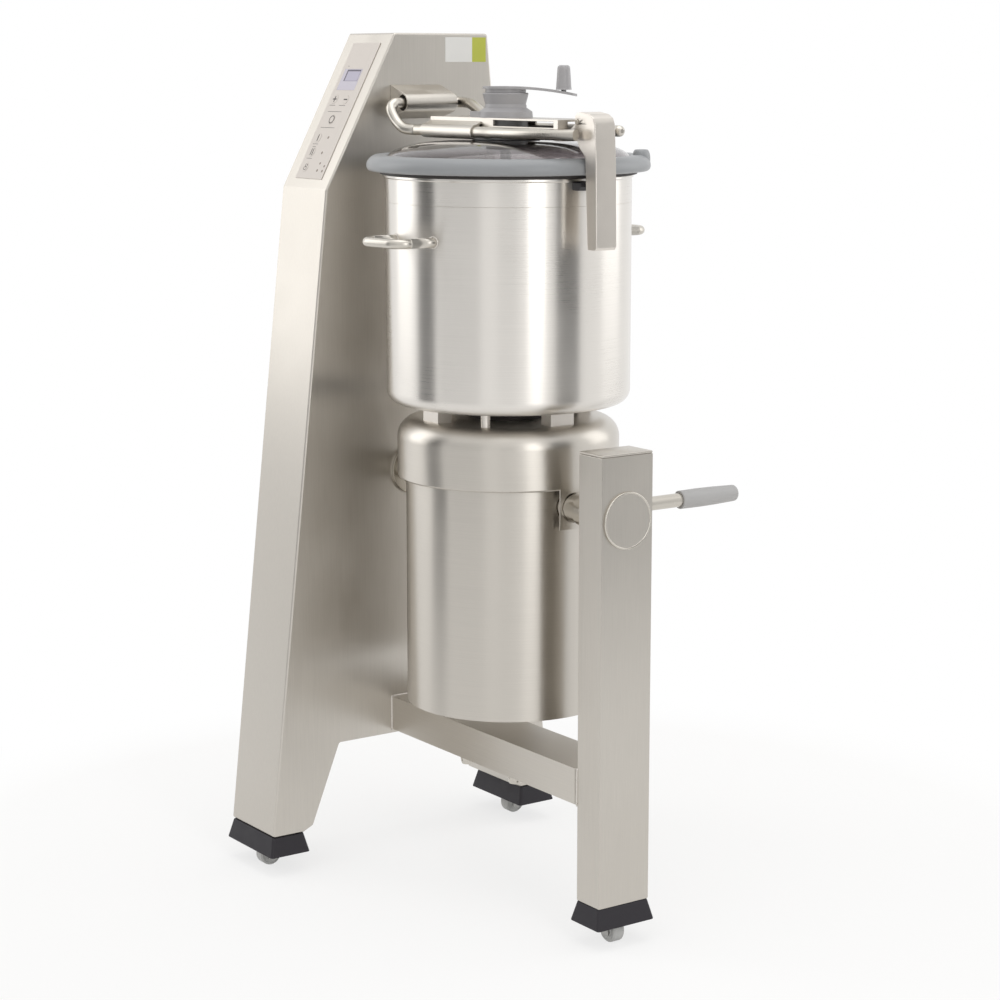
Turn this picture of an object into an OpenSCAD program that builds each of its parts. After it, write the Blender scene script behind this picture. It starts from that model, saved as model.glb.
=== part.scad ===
// Vertical cutter mixer: a tall column and a post carry a tilting motor with a bowl on top.
// X runs from the column to the post, Y to the back, Z up. The origin is on the floor at the middle.

/* [Frame] */
// Length from the column's back to the post's front
frame_l = 729; // [690:1:780]
// Distance from the bowl's axis to the post
axis_to_post = 253; // [245:1:275]
// Height of the tilt axis
tilt_z = 673; // [660:1:690]
// Thickness of the column's box
column_t = 139; // [125:1:150]
// Height of the column
column_h = 1400; // [1390:1:1440]
// Width of the column at its feet
column_w = 572; // [540:1:620]
// Height where the column's front edge starts to lean back
column_bend_z = 1148; // [1120:1:1160]
// Distance from the middle to that bend
column_bend_y = 166; // [158:1:175]
// Distance from the middle to the column's front top edge
column_top_front = 32; // [26:1:40]
// Distance from the middle to the column's back top edge
column_top_back = 154; // [140:1:165]
// Thickness of the column's sheet
sheet_t = 2.5; // [2:0.1:3]
// Height of the arch between the legs
arch_z = 213; // [205:1:218]
// Width of the arch at its top
arch_w = 306; // [280:1:320]
// Width of the arch at the feet
arch_foot_w = 414; // [400:1:424]
// Width of the crossbeam and the post
beam_w = 96; // [90:1:104]
// Height of the crossbeam
beam_h = 58; // [50:1:62]
// Height of the crossbeam's underside
beam_z = 221; // [216:1:225]
// Wall of the crossbeam and the post
tube_wall = 3; // [2:0.1:4]
// Thickness of the post
post_t = 57.5; // [54:0.5:64]
// Height of the post's top
post_z = 776; // [760:1:800]
// Thickness of the cap on the post
post_cap_t = 4; // [3:0.5:6]
// Radius of the round cover on the post
pivot_cover_r = 44; // [40:1:46]
// Thickness of the round cover on the post
pivot_cover_t = 2.5; // [2:0.1:4]

/* [Feet] */
// Height of the rubber boots' top edge
boot_top_z = 68; // [64:1:72]
// Height of the rubber boots' underside
boot_z = 34.5; // [32:0.5:36]
// How far a boot flares out on each side
boot_flare = 8; // [4:0.5:10]
// Length of a column boot
boot_l = 60; // [56:1:64]
// Rubber thickness of a boot
boot_wall = 9; // [7:0.5:10]
// Radius of a castor wheel
wheel_r = 20; // [18:0.5:21]
// Width of a castor wheel
wheel_w = 22; // [18:1:24]
// Radius of a castor axle
axle_r = 4; // [3:0.1:5]

/* [Motor unit] */
// Radius of the motor casing
casing_r = 164; // [160:1:168]
// Height of the casing's bottom edge
casing_z = 334; // [328:1:345]
// Radius of the cap drum
cap_r = 177.5; // [174:0.5:182]
// Height of the cap drum's lower edge
cap_z = 701; // [698:1:708]
// Height of the cap drum's flat top
cap_top_z = 797; // [790:1:805]
// Rounding of the cap drum's shoulder
cap_round = 32; // [14:1:32]
// Sheet thickness of the casing and the cap drum
casing_t = 2.5; // [2:0.1:3.5]
// Radius of the trunnion journals
trunnion_r = 22; // [18:0.5:23]
// Radius of the electric motor
motor_r = 105; // [95:1:115]
// Length of the electric motor
motor_l = 300; // [270:1:310]
// Radius of the rotor
rotor_r = 62; // [55:1:68]
// Radius of the drive shaft
shaft_r = 14; // [11:0.5:16]
// Distance of the tilt lever from the bowl's axis
lever_x = 219; // [214:1:222]
// Reach of the tilt lever from the tilt axis
lever_l = 289; // [250:1:291]
// Radius of the tilt lever's rod
lever_r = 11; // [9:0.5:12]
// Length of the lever's grip
grip_l = 114; // [100:1:125]
// Radius of the lever's grip
grip_r = 14.5; // [13:0.5:17]

/* [Bowl] */
// Outer radius of the bowl
bowl_r = 194; // [190:1:197]
// Height of the bowl's underside
bowl_z = 820; // [815:1:830]
// Height of the bowl's rim
rim_z = 1180; // [1170:1:1182]
// Height of the seam below the bowl's collar
seam_z = 1137; // [1110:1:1150]
// Wall of the bowl
bowl_wall = 3; // [2:0.1:4]
// Rounding of the bowl's bottom edge
bowl_round = 22; // [14:1:30]
// Outer radius of the tube in the middle of the bowl
chimney_r = 30; // [27:1:33]
// Height of the tube in the middle of the bowl
chimney_h = 170; // [150:1:190]
// Radius of the handle bars
handle_bar_r = 7.5; // [6:0.5:9]
// Reach of a handle from the bowl's wall
handle_out = 68; // [55:1:75]
// Distance between the two ends of a handle
handle_w = 92; // [80:1:110]
// Height of the handles
handle_z = 1083; // [1060:1:1100]
// Turn of the handles away from the front and back
handle_turn = 5; // [0:1:10]
// Reach of the cutting blades from the bowl's axis
blade_r = 180; // [150:1:184]
// Thickness of a cutting blade
blade_t = 4; // [3:0.5:6]

/* [Lid] */
// Outer radius of the lid ring
ring_r = 223; // [216:1:223]
// Height of the lid ring
ring_h = 25; // [22:1:27]
// Inner radius of the lid ring
ring_bore_r = 186; // [182:1:187]
// Thickness of the lid seal
seal_t = 4.5; // [4:0.1:5]
// Rise of the clear dome above the ring
dome_rise = 23; // [18:1:24]
// Thickness of the clear dome
dome_t = 4; // [3:0.5:5]
// Distance of the lid hinge from the column's face
hinge_out = 36.5; // [35:0.5:39]
// Height of the lid hinge
hinge_z = 1287; // [1280:1:1295]
// Near end of the hinge barrel, from the middle to the front
barrel_front = 41; // [36:1:44]
// Far end of the hinge barrel, from the middle to the back
barrel_back = 58; // [52:1:60]
// Outer radius of the hinge barrel
barrel_r = 16; // [15:0.5:17]
// Radius of the lid arm's tube
rail_r = 8.5; // [8:0.1:9]
// Height of the lid arm's rails
rail_z = 1245; // [1244:1:1248]
// Distance of the rails from the middle
rail_y = 52; // [51:1:54]
// Width of the yoke plate
yoke_w = 84; // [80:1:84]
// Sheet thickness of the yoke plate
yoke_t = 3; // [2:0.5:3.5]
// Height of the yoke plate's top
yoke_z = 1267; // [1266:1:1269]
// Distance of the funnel's axis from the bowl's axis, towards the column
funnel_x = 8; // [4:1:10]
// Outer radius of the funnel
funnel_r = 36; // [33:1:39]
// Height of the funnel's rim
funnel_z = 1305; // [1300:1:1310]
// Length of the crank arm
crank_l = 112; // [95:1:116]
// Distance of the crank's knob from its axis
knob_x = 91; // [80:1:92]
// Height of the crank's knob
knob_h = 38; // [30:1:44]
// Radius of the crank's knob
knob_r = 12.5; // [11:0.5:14]
// Reach of the lid wiper
wiper_r = 168; // [140:1:174]
// Distance of the clamp's pin from the bowl's axis
clamp_pin_x = 205; // [204:0.5:207]
// Height of the clamp's pin
clamp_pin_z = 1264; // [1263:0.5:1265]
// Width of the clamp lever
clamp_w = 38; // [36:1:44]
// Height of the clamp lever's lower end
clamp_z = 1075; // [1040:1:1100]
// Outer face of the clamp lever, from the bowl's axis
clamp_x = 254; // [252:1:260]

/* [Controls] */
// Width of the control overlay
overlay_w = 84; // [80:1:100]
// Length of the control overlay
overlay_l = 250; // [246:1:262]
// Thickness of the control overlay
overlay_t = 1.2; // [0.8:0.1:2]
// Width of the display window
display_w = 56; // [50:1:60]
// Height of the display window
display_h = 39; // [34:1:41]
// Radius of a key
key_r = 8; // [6:0.5:9]
// Travel of a key
key_travel = 0.8; // [0.5:0.1:1]

/* [Hidden] */
$fn = 72;

// Gap between pieces on different bodies that face each other
gap = 0.3;
// Radial gap of a running fit
run_gap = 0.05;
// How far a cut runs past the face it opens
over = 1;

// Frame places
column_back = -frame_l / 2;
column_face = column_back + column_t;
column_mid = column_back + column_t / 2;
post_front = frame_l / 2;
post_back = post_front - post_t;
post_mid = post_front - post_t / 2;
bowl_x = post_back - axis_to_post;
foot_y = column_w / 2;
boot_y = foot_y - boot_l / 2;
arch_corner_rise = 9;
hinge_x = bowl_x - column_face - hinge_out;

// The column's outline as seen from the post, from the front foot round the top to the back foot
function column_outline() = [
    [-foot_y, boot_top_z], [-(foot_y - boot_l), boot_top_z],
    [-arch_foot_w / 2, boot_top_z + arch_corner_rise], [-arch_w / 2, arch_z],
    [arch_w / 2, arch_z], [arch_foot_w / 2, boot_top_z + arch_corner_rise],
    [foot_y - boot_l, boot_top_z], [foot_y, boot_top_z],
    [column_top_back, column_h], [-column_top_front, column_h], [-column_bend_y, column_bend_z]
];
function unit(v) = v / norm(v);
// The same outline moved inwards by d, corner by corner
function inset(p, d) = [
    for (i = [0 : len(p) - 1])
        let (
            a = p[(i + len(p) - 1) % len(p)],
            b = p[i],
            c = p[(i + 1) % len(p)],
            u = unit(b - a),
            v = unit(c - b),
            n = [-u[1], u[0]],
            m = [-v[1], v[0]]
        )
        b + d * (n + m) / (1 + n * m)
];

// Control strip: its outward lean, and what sits on it and behind it
strip_lean = atan2(column_bend_y - column_top_front, column_h - column_bend_z);
overlay_foot = 17;
display_foot = 179.5;
key_board_gap = key_travel + run_gap;
board_depth = 16;
board_t = 1.6;
board_w = 78;
board_margin = 8;
standoff_r = 3;
switch_size = 6;
switch_h = 3.5;
plunger_r = 2.5;
key_proud = 0.3;
key_body = 7;
// Places of the keys on the strip: sideways from its middle, and up from its foot
key_plus_at = [-24, 162.4];
key_minus_at = [10.5, 162];
key_stop_at = [-6, 125];
key_run_one_at = [-23.5, 91];
key_run_two_at = [-23.5, 65];
key_pulse_at = [-23.5, 37];
key_places = [
    key_plus_at, key_minus_at, key_stop_at, key_run_one_at, key_run_two_at, key_pulse_at
];

// Feet
fork_t = 3;
fork_play = 1;
fork_w = wheel_w + 2 * (fork_t + fork_play);
fork_plate_t = 4;
fork_l = 32;
wheel_rim = 3;
wheel_groove = 1.5;

// Motor unit
bearing_wall = 12;
bearing_lip = 10;
bearing_r = trunnion_r + bearing_wall;
bearing_flange_r = bearing_r + bearing_lip;
bearing_flange_t = 6;
bearing_l = 34;
trunnion_flange_r = 48;
trunnion_flange_t = 8;
tab_side = 4;
tab_w = 2 * (trunnion_r + tab_side);
tab_drop = 62;
opening_gap = 1.5;
opening_r = trunnion_r + opening_gap;
collar_wall = 3;
collar_r = trunnion_r + collar_wall;
collar_l = 30;
motor_up = 30;
motor_z = casing_z + motor_up;
journal_short = 4;
cap_hole_gap = 3;
motor_top_z = motor_z + motor_l;
motor_flange_t = 12;
bearing_seat = 30;
seal_ring_r = 62;
seal_ring_h = 9;
base_vent_w = 8;
base_vent_l = 60;

// Bowl and blades
foot_h = bowl_z - cap_top_z;
chimney_top_z = bowl_z + chimney_h;
hub_wall = 8;
hub_r = chimney_r + hub_wall;
hub_up = 6;
hub_foot_z = bowl_z + bowl_wall + hub_up;
hub_top_t = 12;
hub_top_z = chimney_top_z + gap + hub_top_t;
blade_up = 14;
blade_foot_z = bowl_z + bowl_wall + blade_up;
blade_step = 62;
blade_w = 46;
nut_r = 24;
nut_h = 26;
catch_w = 38;
catch_out = 20;
catch_h = 12;

// Lid
seal_z = rim_z + gap;
ring_z = seal_z + seal_t;
ring_top = ring_z + ring_h;
dome_seat = 5;
dome_foot_r = ring_bore_r + dome_seat;
dome_sink = 6;
dome_z = ring_top - dome_sink;
bush_l = 12;
bush_recess = 8;
barrel_wall = 3.5;
bush_r = barrel_r - barrel_wall;
stub = 8;
near_bend_end = 165;
far_bend_end = 90;
near_run = hinge_x - near_bend_end;
far_run = hinge_x - far_bend_end;
bulge = 14;
rail_mid_out = 5;
rail_end_y = 31;
rail_end_x = 217;
far_end_x = 222;
far_end_y = 47;
far_rail_up = 5;
far_rail_z = rail_z + far_rail_up;
bracket_h = 55.5;
bracket_up = 29;
yoke_x0 = -158;
yoke_x1 = 187;
saddle_x0 = -158;
saddle_far_x0 = -88;
saddle_x1 = -14;
window_x0 = 18;
window_x1 = 176;
window_h = 9;
rail_sides = 20;
spline_steps = 4;
funnel_base_r = 43;
funnel_base_z = yoke_z;
funnel_waist_z = 1287.5;
funnel_throat_r = 17;
funnel_neck_r = 26;
dome_crown_z = dome_z + dome_rise + dome_sink;
crank_disc_r = 32;
crank_disc_z = funnel_z + gap;
crank_disc_h = 6;
crank_skin = 4;
crank_turn = 55;
crank_drop = 12;
crank_w = 30;
wiper_shaft_r = 8;
wiper_up = 3;
wiper_z = ring_z + wiper_up;
wiper_h = 10;
wiper_w = 14;
pin_r = 3.5;
pin_head_t = 1.5;
tongue_w = 23.4;
tongue_r = 6;
cross_x0 = 168;
cross_x1 = 184;
cross_h = 14;
cross_drop = 10;
ear_r = 14;
ear_in = 1;
ear_slope = 3;
ear_h = 8;
pocket_r = 9;
pocket_up = 2;
ear_turn = 52;

// Glands and small fasteners
gland_r = 12;
gland_bore_r = 6.5;
gland_l = 18;
gland_nut_l = 8;
gland_in = 36;
gland_x = column_mid - gland_in;
gland_taper = 3;
gland_y = 60;
screw_r = 4;
screw_h = 2.2;
screw_in = 14;
screw_share = [0.1, 0.36, 0.62, 0.88];
dome_nut_r = 12;
dome_nut_h = 20;
dome_nut_x = [-68, 68];
dome_nut_y = 34;

// Moves children so that their origin is on the bowl's axis
module on_axis() {
    translate([bowl_x, 0, 0]) children();
}
// A round bar along X from x0 to x1, through the point y, z
module bar_x(x0, x1, r, y = 0, z = 0) {
    translate([x0, y, z]) rotate([0, 90, 0]) cylinder(r = r, h = x1 - x0);
}
// A round bar along Y from y0 to y1, through the point x, z
module bar_y(y0, y1, r, x = 0, z = 0) {
    translate([x, y0, z]) rotate([-90, 0, 0]) cylinder(r = r, h = y1 - y0);
}
// A box given by its lowest and highest corners
module box(a, b) {
    translate(a) cube(b - a);
}
// A flat outline in Y and Z, made thick along X from x0 to x1
module slab_x(x0, x1) {
    translate([x0, 0, 0]) rotate([90, 0, 90]) linear_extrude(x1 - x0) children();
}
// A flat outline in X and Z, made thick along Y from y0 to y1
module slab_y(y0, y1) {
    translate([0, y1, 0]) rotate([90, 0, 0]) linear_extrude(y1 - y0) children();
}
// Puts children on the control strip: x sideways, y up the slope, z outwards
module on_strip() {
    translate([column_mid, -column_bend_y, column_bend_z])
        rotate([90 - strip_lean, 0, 0]) children();
}

// Column
module column_shell() {
    color("#c9c3ba") difference() {
        slab_x(column_back, column_face) polygon(column_outline());
        slab_x(column_back - over, column_face - sheet_t)
            polygon(inset(column_outline(), sheet_t));
        bar_x(column_face - sheet_t - over, column_face + over, bearing_r + run_gap, 0, tilt_z);
        on_strip() for (p = key_places)
            translate([p[0], p[1], -sheet_t - over])
                cylinder(r = key_r + gap, h = sheet_t + 2 * over);
        translate([gland_x, gland_y, arch_z - over])
            cylinder(r = gland_r + run_gap, h = sheet_t + 2 * over);
    }
}

module column_back_panel() {
    color("#bdb7ae") difference() {
        slab_x(column_back, column_back + sheet_t)
            polygon(inset(column_outline(), sheet_t + run_gap));
        for (side = [-1, 1], s = screw_share)
            translate([column_back - over, side * screw_y(s), screw_z(s)])
                rotate([0, 90, 0]) cylinder(r = screw_r / 2 + run_gap, h = sheet_t + 2 * over);
    }
}
function screw_z(s) = boot_top_z + s * (column_bend_z - boot_top_z);
function screw_y(s) = foot_y - s * (foot_y - column_bend_y) - sheet_t - screw_in;

module back_panel_screws() {
    color("#aaa59d") for (side = [-1, 1], s = screw_share)
        translate([column_back, side * screw_y(s), screw_z(s)]) {
            rotate([0, -90, 0]) cylinder(r = screw_r, h = screw_h);
            rotate([0, 90, 0]) cylinder(r = screw_r / 2, h = sheet_t * 4);
        }
}

module control_overlay() {
    color("#c6beb6") on_strip() difference() {
        box([-overlay_w / 2, overlay_foot, 0], [overlay_w / 2, overlay_foot + overlay_l, overlay_t]);
        for (p = key_places)
            translate([p[0], p[1], -over]) cylinder(r = key_r + gap, h = overlay_t + 2 * over);
        display_box(run_gap, over);
    }
}
// The space of the display window, grown sideways by g and lengthways out of the strip by o
module display_box(g, o) {
    x0 = -overlay_w / 2 + (overlay_w - display_w) / 3;
    box([x0 - g, display_foot - g, -o],
        [x0 + display_w + g, display_foot + display_h + g, overlay_t + o]);
}

module display_window() {
    color("#b9b6c8") on_strip() display_box(0, 0);
}

module control_board() {
    depth = -sheet_t - board_depth;
    x0 = -board_w / 2;
    y0 = overlay_foot;
    y1 = overlay_foot + overlay_l;
    color("#3f6b4d") on_strip() {
        box([x0, y0, depth - board_t], [x0 + board_w, y1, depth]);
        for (x = [x0 + board_margin, x0 + board_w - board_margin],
             y = [y0 + board_margin, y1 - board_margin])
            translate([x, y, depth]) cylinder(r = standoff_r, h = board_depth);
        for (p = key_places)
            box([p[0] - switch_size / 2, p[1] - switch_size / 2, depth],
                [p[0] + switch_size / 2, p[1] + switch_size / 2, depth + switch_h]);
    }
}

inverter_w = 150;
inverter_d = 96;
inverter_h = 250;
inverter_z = 330;
fin_t = 3;
fin_l = 12;
fin_count = 9;
module inverter_box() {
    x0 = column_back + sheet_t;
    color("#6e7278") {
        box(
            [x0, -inverter_w / 2, inverter_z],
            [x0 + inverter_d, inverter_w / 2, inverter_z + inverter_h]
        );
        for (i = [0 : fin_count - 1])
            translate([x0 + inverter_d, i * (inverter_w - fin_t) / (fin_count - 1) - inverter_w / 2, inverter_z])
                cube([fin_l, fin_t, inverter_h]);
    }
}

// One flanged bush, its flange on the plane x = 0 and its body reaching along +X
module flanged_bush() {
    difference() {
        union() {
            bar_x(-bearing_flange_t, 0, bearing_flange_r);
            bar_x(-over, bearing_l, bearing_r);
        }
        bar_x(-bearing_flange_t - over, bearing_l + over, trunnion_r + run_gap);
    }
}
module trunnion_bearings() {
    color("#8f8b86") {
        translate([column_face, 0, tilt_z]) mirror([1, 0, 0]) flanged_bush();
        translate([post_back, 0, tilt_z]) flanged_bush();
    }
}

beam_groove_x = 6;
beam_groove = 0.8;
module crossbeam() {
    y = beam_w / 2;
    color("#b9b4a9") difference() {
        box([column_face, -y, beam_z], [post_back, y, beam_z + beam_h]);
        box([column_face - over, -y + tube_wall, beam_z + tube_wall],
            [post_back + over, y - tube_wall, beam_z + beam_h - tube_wall]);
        for (side = [-1, 1])
            translate([post_back - beam_groove_x, side * y - beam_groove, beam_z - over])
                cube([beam_groove, 2 * beam_groove, beam_h + 2 * over]);
        for (x = dome_nut_x, side = [-1, 1])
            translate([bowl_x + x, side * dome_nut_y, beam_z - over])
                cylinder(r = dome_nut_r / 2 + run_gap, h = tube_wall + 2 * over);
    }
}

module beam_dome_nuts() {
    color("#cfcac3") for (x = dome_nut_x, side = [-1, 1])
        translate([bowl_x + x, side * dome_nut_y, beam_z]) {
            rotate_extrude() intersection() {
                scale([1, dome_nut_h / dome_nut_r]) circle(r = dome_nut_r);
                translate([0, -dome_nut_r]) square([dome_nut_r, dome_nut_r]);
            }
            cylinder(r = dome_nut_r / 2, h = tube_wall * 2);
        }
}

module post() {
    y = beam_w / 2;
    color("#c4beb5") difference() {
        box([post_back, -y, boot_top_z], [post_front, y, post_z - post_cap_t]);
        box([post_back + tube_wall, -y + tube_wall, boot_top_z - over],
            [post_front - tube_wall, y - tube_wall, post_z - post_cap_t + over]);
        bar_x(post_back - over, post_back + tube_wall + over, bearing_r + run_gap, 0, tilt_z);
    }
}

module post_cap() {
    y = beam_w / 2;
    skirt = 12;
    color("#cbc6be") {
        box([post_back, -y, post_z - post_cap_t], [post_front, y, post_z]);
        box([post_back + tube_wall + run_gap, -y + tube_wall + run_gap, post_z - post_cap_t - skirt],
            [post_front - tube_wall - run_gap, y - tube_wall - run_gap, post_z - post_cap_t]);
    }
}

module pivot_cover() {
    rim = 1.2;
    color("#bab4aa") translate([post_front, 0, tilt_z]) rotate([0, 90, 0]) rotate_extrude()
        polygon([[0, 0], [pivot_cover_r, 0], [pivot_cover_r, pivot_cover_t - rim],
                 [pivot_cover_r - rim, pivot_cover_t], [0, pivot_cover_t]]);
}

// Feet
// A rubber boot of length l and width w, with a pocket for the wheel
module boot(l, w) {
    f = boot_flare;
    h = boot_top_z - boot_z;
    pocket_h = h - boot_wall;
    difference() {
        flared_block(l, w, f, h);
        translate([-(l / 2 - boot_wall), -(w / 2 - boot_wall), -over])
            cube([l - 2 * boot_wall, w - 2 * boot_wall, pocket_h + over]);
    }
}
// A block of length l and width w at the top that flares by f towards its foot
module flared_block(l, w, f, h) {
    x = l / 2;
    y = w / 2;
    polyhedron(
        points = [
            [-x - f, -y - f, 0], [x + f, -y - f, 0], [x + f, y + f, 0], [-x - f, y + f, 0],
            [-x, -y, h], [x, -y, h], [x, y, h], [-x, y, h]
        ],
        faces = [[0, 1, 2, 3], [7, 6, 5, 4], [0, 4, 5, 1], [1, 5, 6, 2], [2, 6, 7, 3], [3, 7, 4, 0]]
    );
}
// Puts children at each boot: the two column feet and the post foot
module at_foot(i) {
    place = [[column_mid, -boot_y], [column_mid, boot_y], [post_mid, 0]][i];
    translate([place[0], place[1], 0]) children();
}
module rubber_boots() {
    color("#2b2630") {
        for (i = [0, 1])
            at_foot(i) translate([0, 0, boot_z]) boot(column_t, boot_l);
        at_foot(2) translate([0, 0, boot_z]) boot(post_t, beam_w);
    }
}
// A fork hangs from the boot's pocket and holds the axle; turned 90 degrees under the post
module fork() {
    plate_z = boot_top_z - boot_wall - fork_plate_t;
    cheek_in = fork_w / 2 - fork_t;
    box([-fork_w / 2, -fork_l / 2, plate_z], [fork_w / 2, fork_l / 2, plate_z + fork_plate_t]);
    for (side = [-1, 1])
        box([side * cheek_in + min(0, side * fork_t), -axle_r * 2, wheel_r - axle_r * 2],
            [side * cheek_in + max(0, side * fork_t), axle_r * 2, plate_z + over]);
    bar_x(-fork_w / 2, fork_w / 2, axle_r, 0, wheel_r);
}
module castor_forks() {
    color("#9a9894") {
        for (i = [0, 1])
            at_foot(i) fork();
        at_foot(2) rotate([0, 0, 90]) fork();
    }
}
// A castor wheel with a rounded tread and a groove in each face
module wheel() {
    w = wheel_w / 2;
    translate([0, 0, wheel_r]) rotate([0, 90, 0]) rotate_extrude() polygon([
        [axle_r + run_gap, -w], [wheel_r * 0.45, -w], [wheel_r * 0.5, -w + wheel_groove],
        [wheel_r * 0.8, -w + wheel_groove], [wheel_r * 0.85, -w], [wheel_r - wheel_rim, -w],
        [wheel_r, -w + wheel_rim], [wheel_r, w - wheel_rim], [wheel_r - wheel_rim, w],
        [wheel_r * 0.85, w], [wheel_r * 0.8, w - wheel_groove], [wheel_r * 0.5, w - wheel_groove],
        [wheel_r * 0.45, w], [axle_r + run_gap, w]
    ]);
}
module wheel_front() {
    color("#c9c9c9") at_foot(0) wheel();
}
module wheel_rear() {
    color("#c9c9c9") at_foot(1) wheel();
}
module wheel_post() {
    color("#c9c9c9") at_foot(2) rotate([0, 0, 90]) wheel();
}

// Lid hinge on the column
module hinge_bracket() {
    hx = bowl_x - hinge_x;
    reach = hx - column_face;
    low = hinge_z + bracket_up - bracket_h;
    a1 = touch_angle(reach, bracket_up);
    a0 = -touch_angle(reach, hinge_z - low);
    color("#c3bdb3") slab_y(-barrel_front, barrel_back) difference() {
        polygon(concat(
            [[column_face, low], [column_face, hinge_z + bracket_up]],
            [for (i = [0 : barrel_steps])
                let (a = a1 + i * (a0 - a1) / barrel_steps)
                [hx + barrel_r * cos(a), hinge_z + barrel_r * sin(a)]]
        ));
        translate([hx, hinge_z]) circle(r = bush_r + run_gap);
    }
}
barrel_steps = 32;
// Where the line from the column's face at height h above the hinge touches the barrel
function touch_angle(reach, h) = atan2(h, -reach) - acos(barrel_r / norm([reach, h]));

module hinge_bushes() {
    hx = bowl_x - hinge_x;
    color("#3a3a3c") for (y = [-barrel_front + bush_recess, barrel_back - bush_recess - bush_l])
        difference() {
            bar_y(y, y + bush_l, bush_r, hx, hinge_z);
            bar_y(y - over, y + bush_l + over, rail_r + run_gap, hx, hinge_z);
        }
}

module cable_gland() {
    color("#4a4a4e") translate([gland_x, gland_y, arch_z]) difference() {
        union() {
            translate([0, 0, -gland_l])
                cylinder(r1 = gland_r - gland_taper, r2 = gland_r, h = gland_l - gland_nut_l);
            translate([0, 0, -gland_nut_l]) cylinder(r = gland_r * 1.3, h = gland_nut_l, $fn = 6);
            cylinder(r = gland_r, h = sheet_t + gland_nut_l);
        }
        translate([0, 0, -gland_l - over])
            cylinder(r = gland_bore_r, h = gland_l + sheet_t + gland_nut_l + 2 * over);
    }
}

// Motor unit
module motor_casing() {
    color("#cdc9c4") on_axis() difference() {
        translate([0, 0, casing_z]) cylinder(r = casing_r, h = cap_z + 2 * casing_t - casing_z);
        translate([0, 0, casing_z - over])
            cylinder(r = casing_r - casing_t, h = cap_z - casing_z + 2 * casing_t + 2 * over);
        bar_x(-casing_r - over, casing_r + over, opening_r, 0, tilt_z);
    }
}

// The cap drum's wall from its rolled lower lip over the shoulder to the flat top
module motor_cap() {
    r = cap_r;
    t = casing_t;
    h = cap_top_z;
    q = cap_round;
    lip = casing_r + run_gap;
    arc = [for (a = [0 : 10 : 90]) [r - q + q * cos(a), h - q + q * sin(a)]];
    arc_in = [for (a = [90 : -10 : 0]) [r - q + (q - t) * cos(a), h - q + (q - t) * sin(a)]];
    hole = shaft_r + cap_hole_gap;
    color("#c8c3bb") on_axis() difference() {
        union() {
            rotate_extrude() polygon(concat(
                [[lip, cap_z], [r - t, cap_z], [r, cap_z + t]],
                arc,
                [[hole, h], [hole, h - t]],
                arc_in,
                [[r - t, cap_z + 2 * t], [lip, cap_z + 2 * t]]
            ));
            intersection() {
                translate([0, 0, cap_z - tab_drop]) difference() {
                    cylinder(r = r, h = tab_drop + t);
                    translate([0, 0, -over]) cylinder(r = r - t, h = tab_drop + t + 2 * over);
                }
                box(
                    [-r - over, -tab_w / 2, cap_z - tab_drop - over],
                    [r + over, tab_w / 2, cap_z + 2 * t]
                );
            }
        }
        bar_x(-r - over, r + over, opening_r, 0, tilt_z);
    }
}

module motor_base_plate() {
    r = casing_r - casing_t - run_gap;
    t = casing_t;
    color("#9c9890") on_axis() difference() {
        translate([0, 0, casing_z + t]) cylinder(r = r, h = t);
        for (a = [0 : 60 : 300])
            rotate([0, 0, a]) translate([r / 2, -base_vent_w / 2, casing_z + t - over])
                cube([base_vent_l, base_vent_w, t + 2 * over]);
    }
}

// The motor stands on the base plate, is bored for its rotor and carries a flange with the bearing
module motor_stator() {
    post_h = motor_z - casing_z - 2 * casing_t;
    flange_r = motor_r + fin_l;
    color("#7d848a") on_axis() difference() {
        union() {
            translate([0, 0, motor_z]) cylinder(r = motor_r, h = motor_l);
            for (a = [0 : 20 : 340])
                rotate([0, 0, a]) translate([motor_r - over, -fin_t / 2, motor_z + fin_l])
                    cube([fin_l, fin_t, motor_l - 2 * fin_l]);
            translate([0, 0, motor_top_z]) cylinder(r = flange_r, h = motor_flange_t);
            for (a = [45 : 90 : 315])
                rotate([0, 0, a]) translate([motor_r - fin_l, 0, motor_z - post_h])
                    cylinder(r = fin_l / 2, h = post_h + over);
        }
        translate([0, 0, motor_z + bearing_seat])
            cylinder(r = rotor_r + gap, h = motor_l - 2 * bearing_seat);
        translate([0, 0, motor_z - over])
            cylinder(r = shaft_r + run_gap, h = motor_l + motor_flange_t + 2 * over);
    }
}

// A trunnion: a journal with a flange inside the casing's wall
module trunnion(x_in, x_out) {
    difference() {
        union() {
            bar_x(x_in, x_out, trunnion_r);
            intersection() {
                bar_x(casing_r - casing_t - 4 * trunnion_flange_t, casing_r, trunnion_flange_r);
                translate([0, 0, -trunnion_flange_r])
                    cylinder(r = casing_r - casing_t - run_gap, h = 2 * trunnion_flange_r);
            }
        }
        bar_x(motor_r, x_in + over, trunnion_flange_r + over);
        bar_x(x_in - over, x_out + over, trunnion_r / 2);
    }
}
trunnion_in = casing_r - casing_t - 2 * trunnion_flange_t;
module trunnion_column() {
    x_out = bowl_x - column_face + bearing_l - journal_short;
    color("#a9a59e") translate([bowl_x, 0, tilt_z]) mirror([1, 0, 0]) trunnion(trunnion_in, x_out);
}
module trunnion_post() {
    x_out = axis_to_post + bearing_l - journal_short;
    color("#a9a59e") translate([bowl_x, 0, tilt_z]) difference() {
        union() {
            trunnion(trunnion_in, x_out);
            difference() {
                bar_x(lever_x - collar_l / 2, lever_x + collar_l / 2, collar_r);
                bar_x(lever_x - collar_l / 2 - over, lever_x + collar_l / 2 + over, trunnion_r / 2);
            }
        }
        bar_y(trunnion_r / 2, collar_r + over, lever_r + run_gap, lever_x, 0);
    }
}

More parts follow.
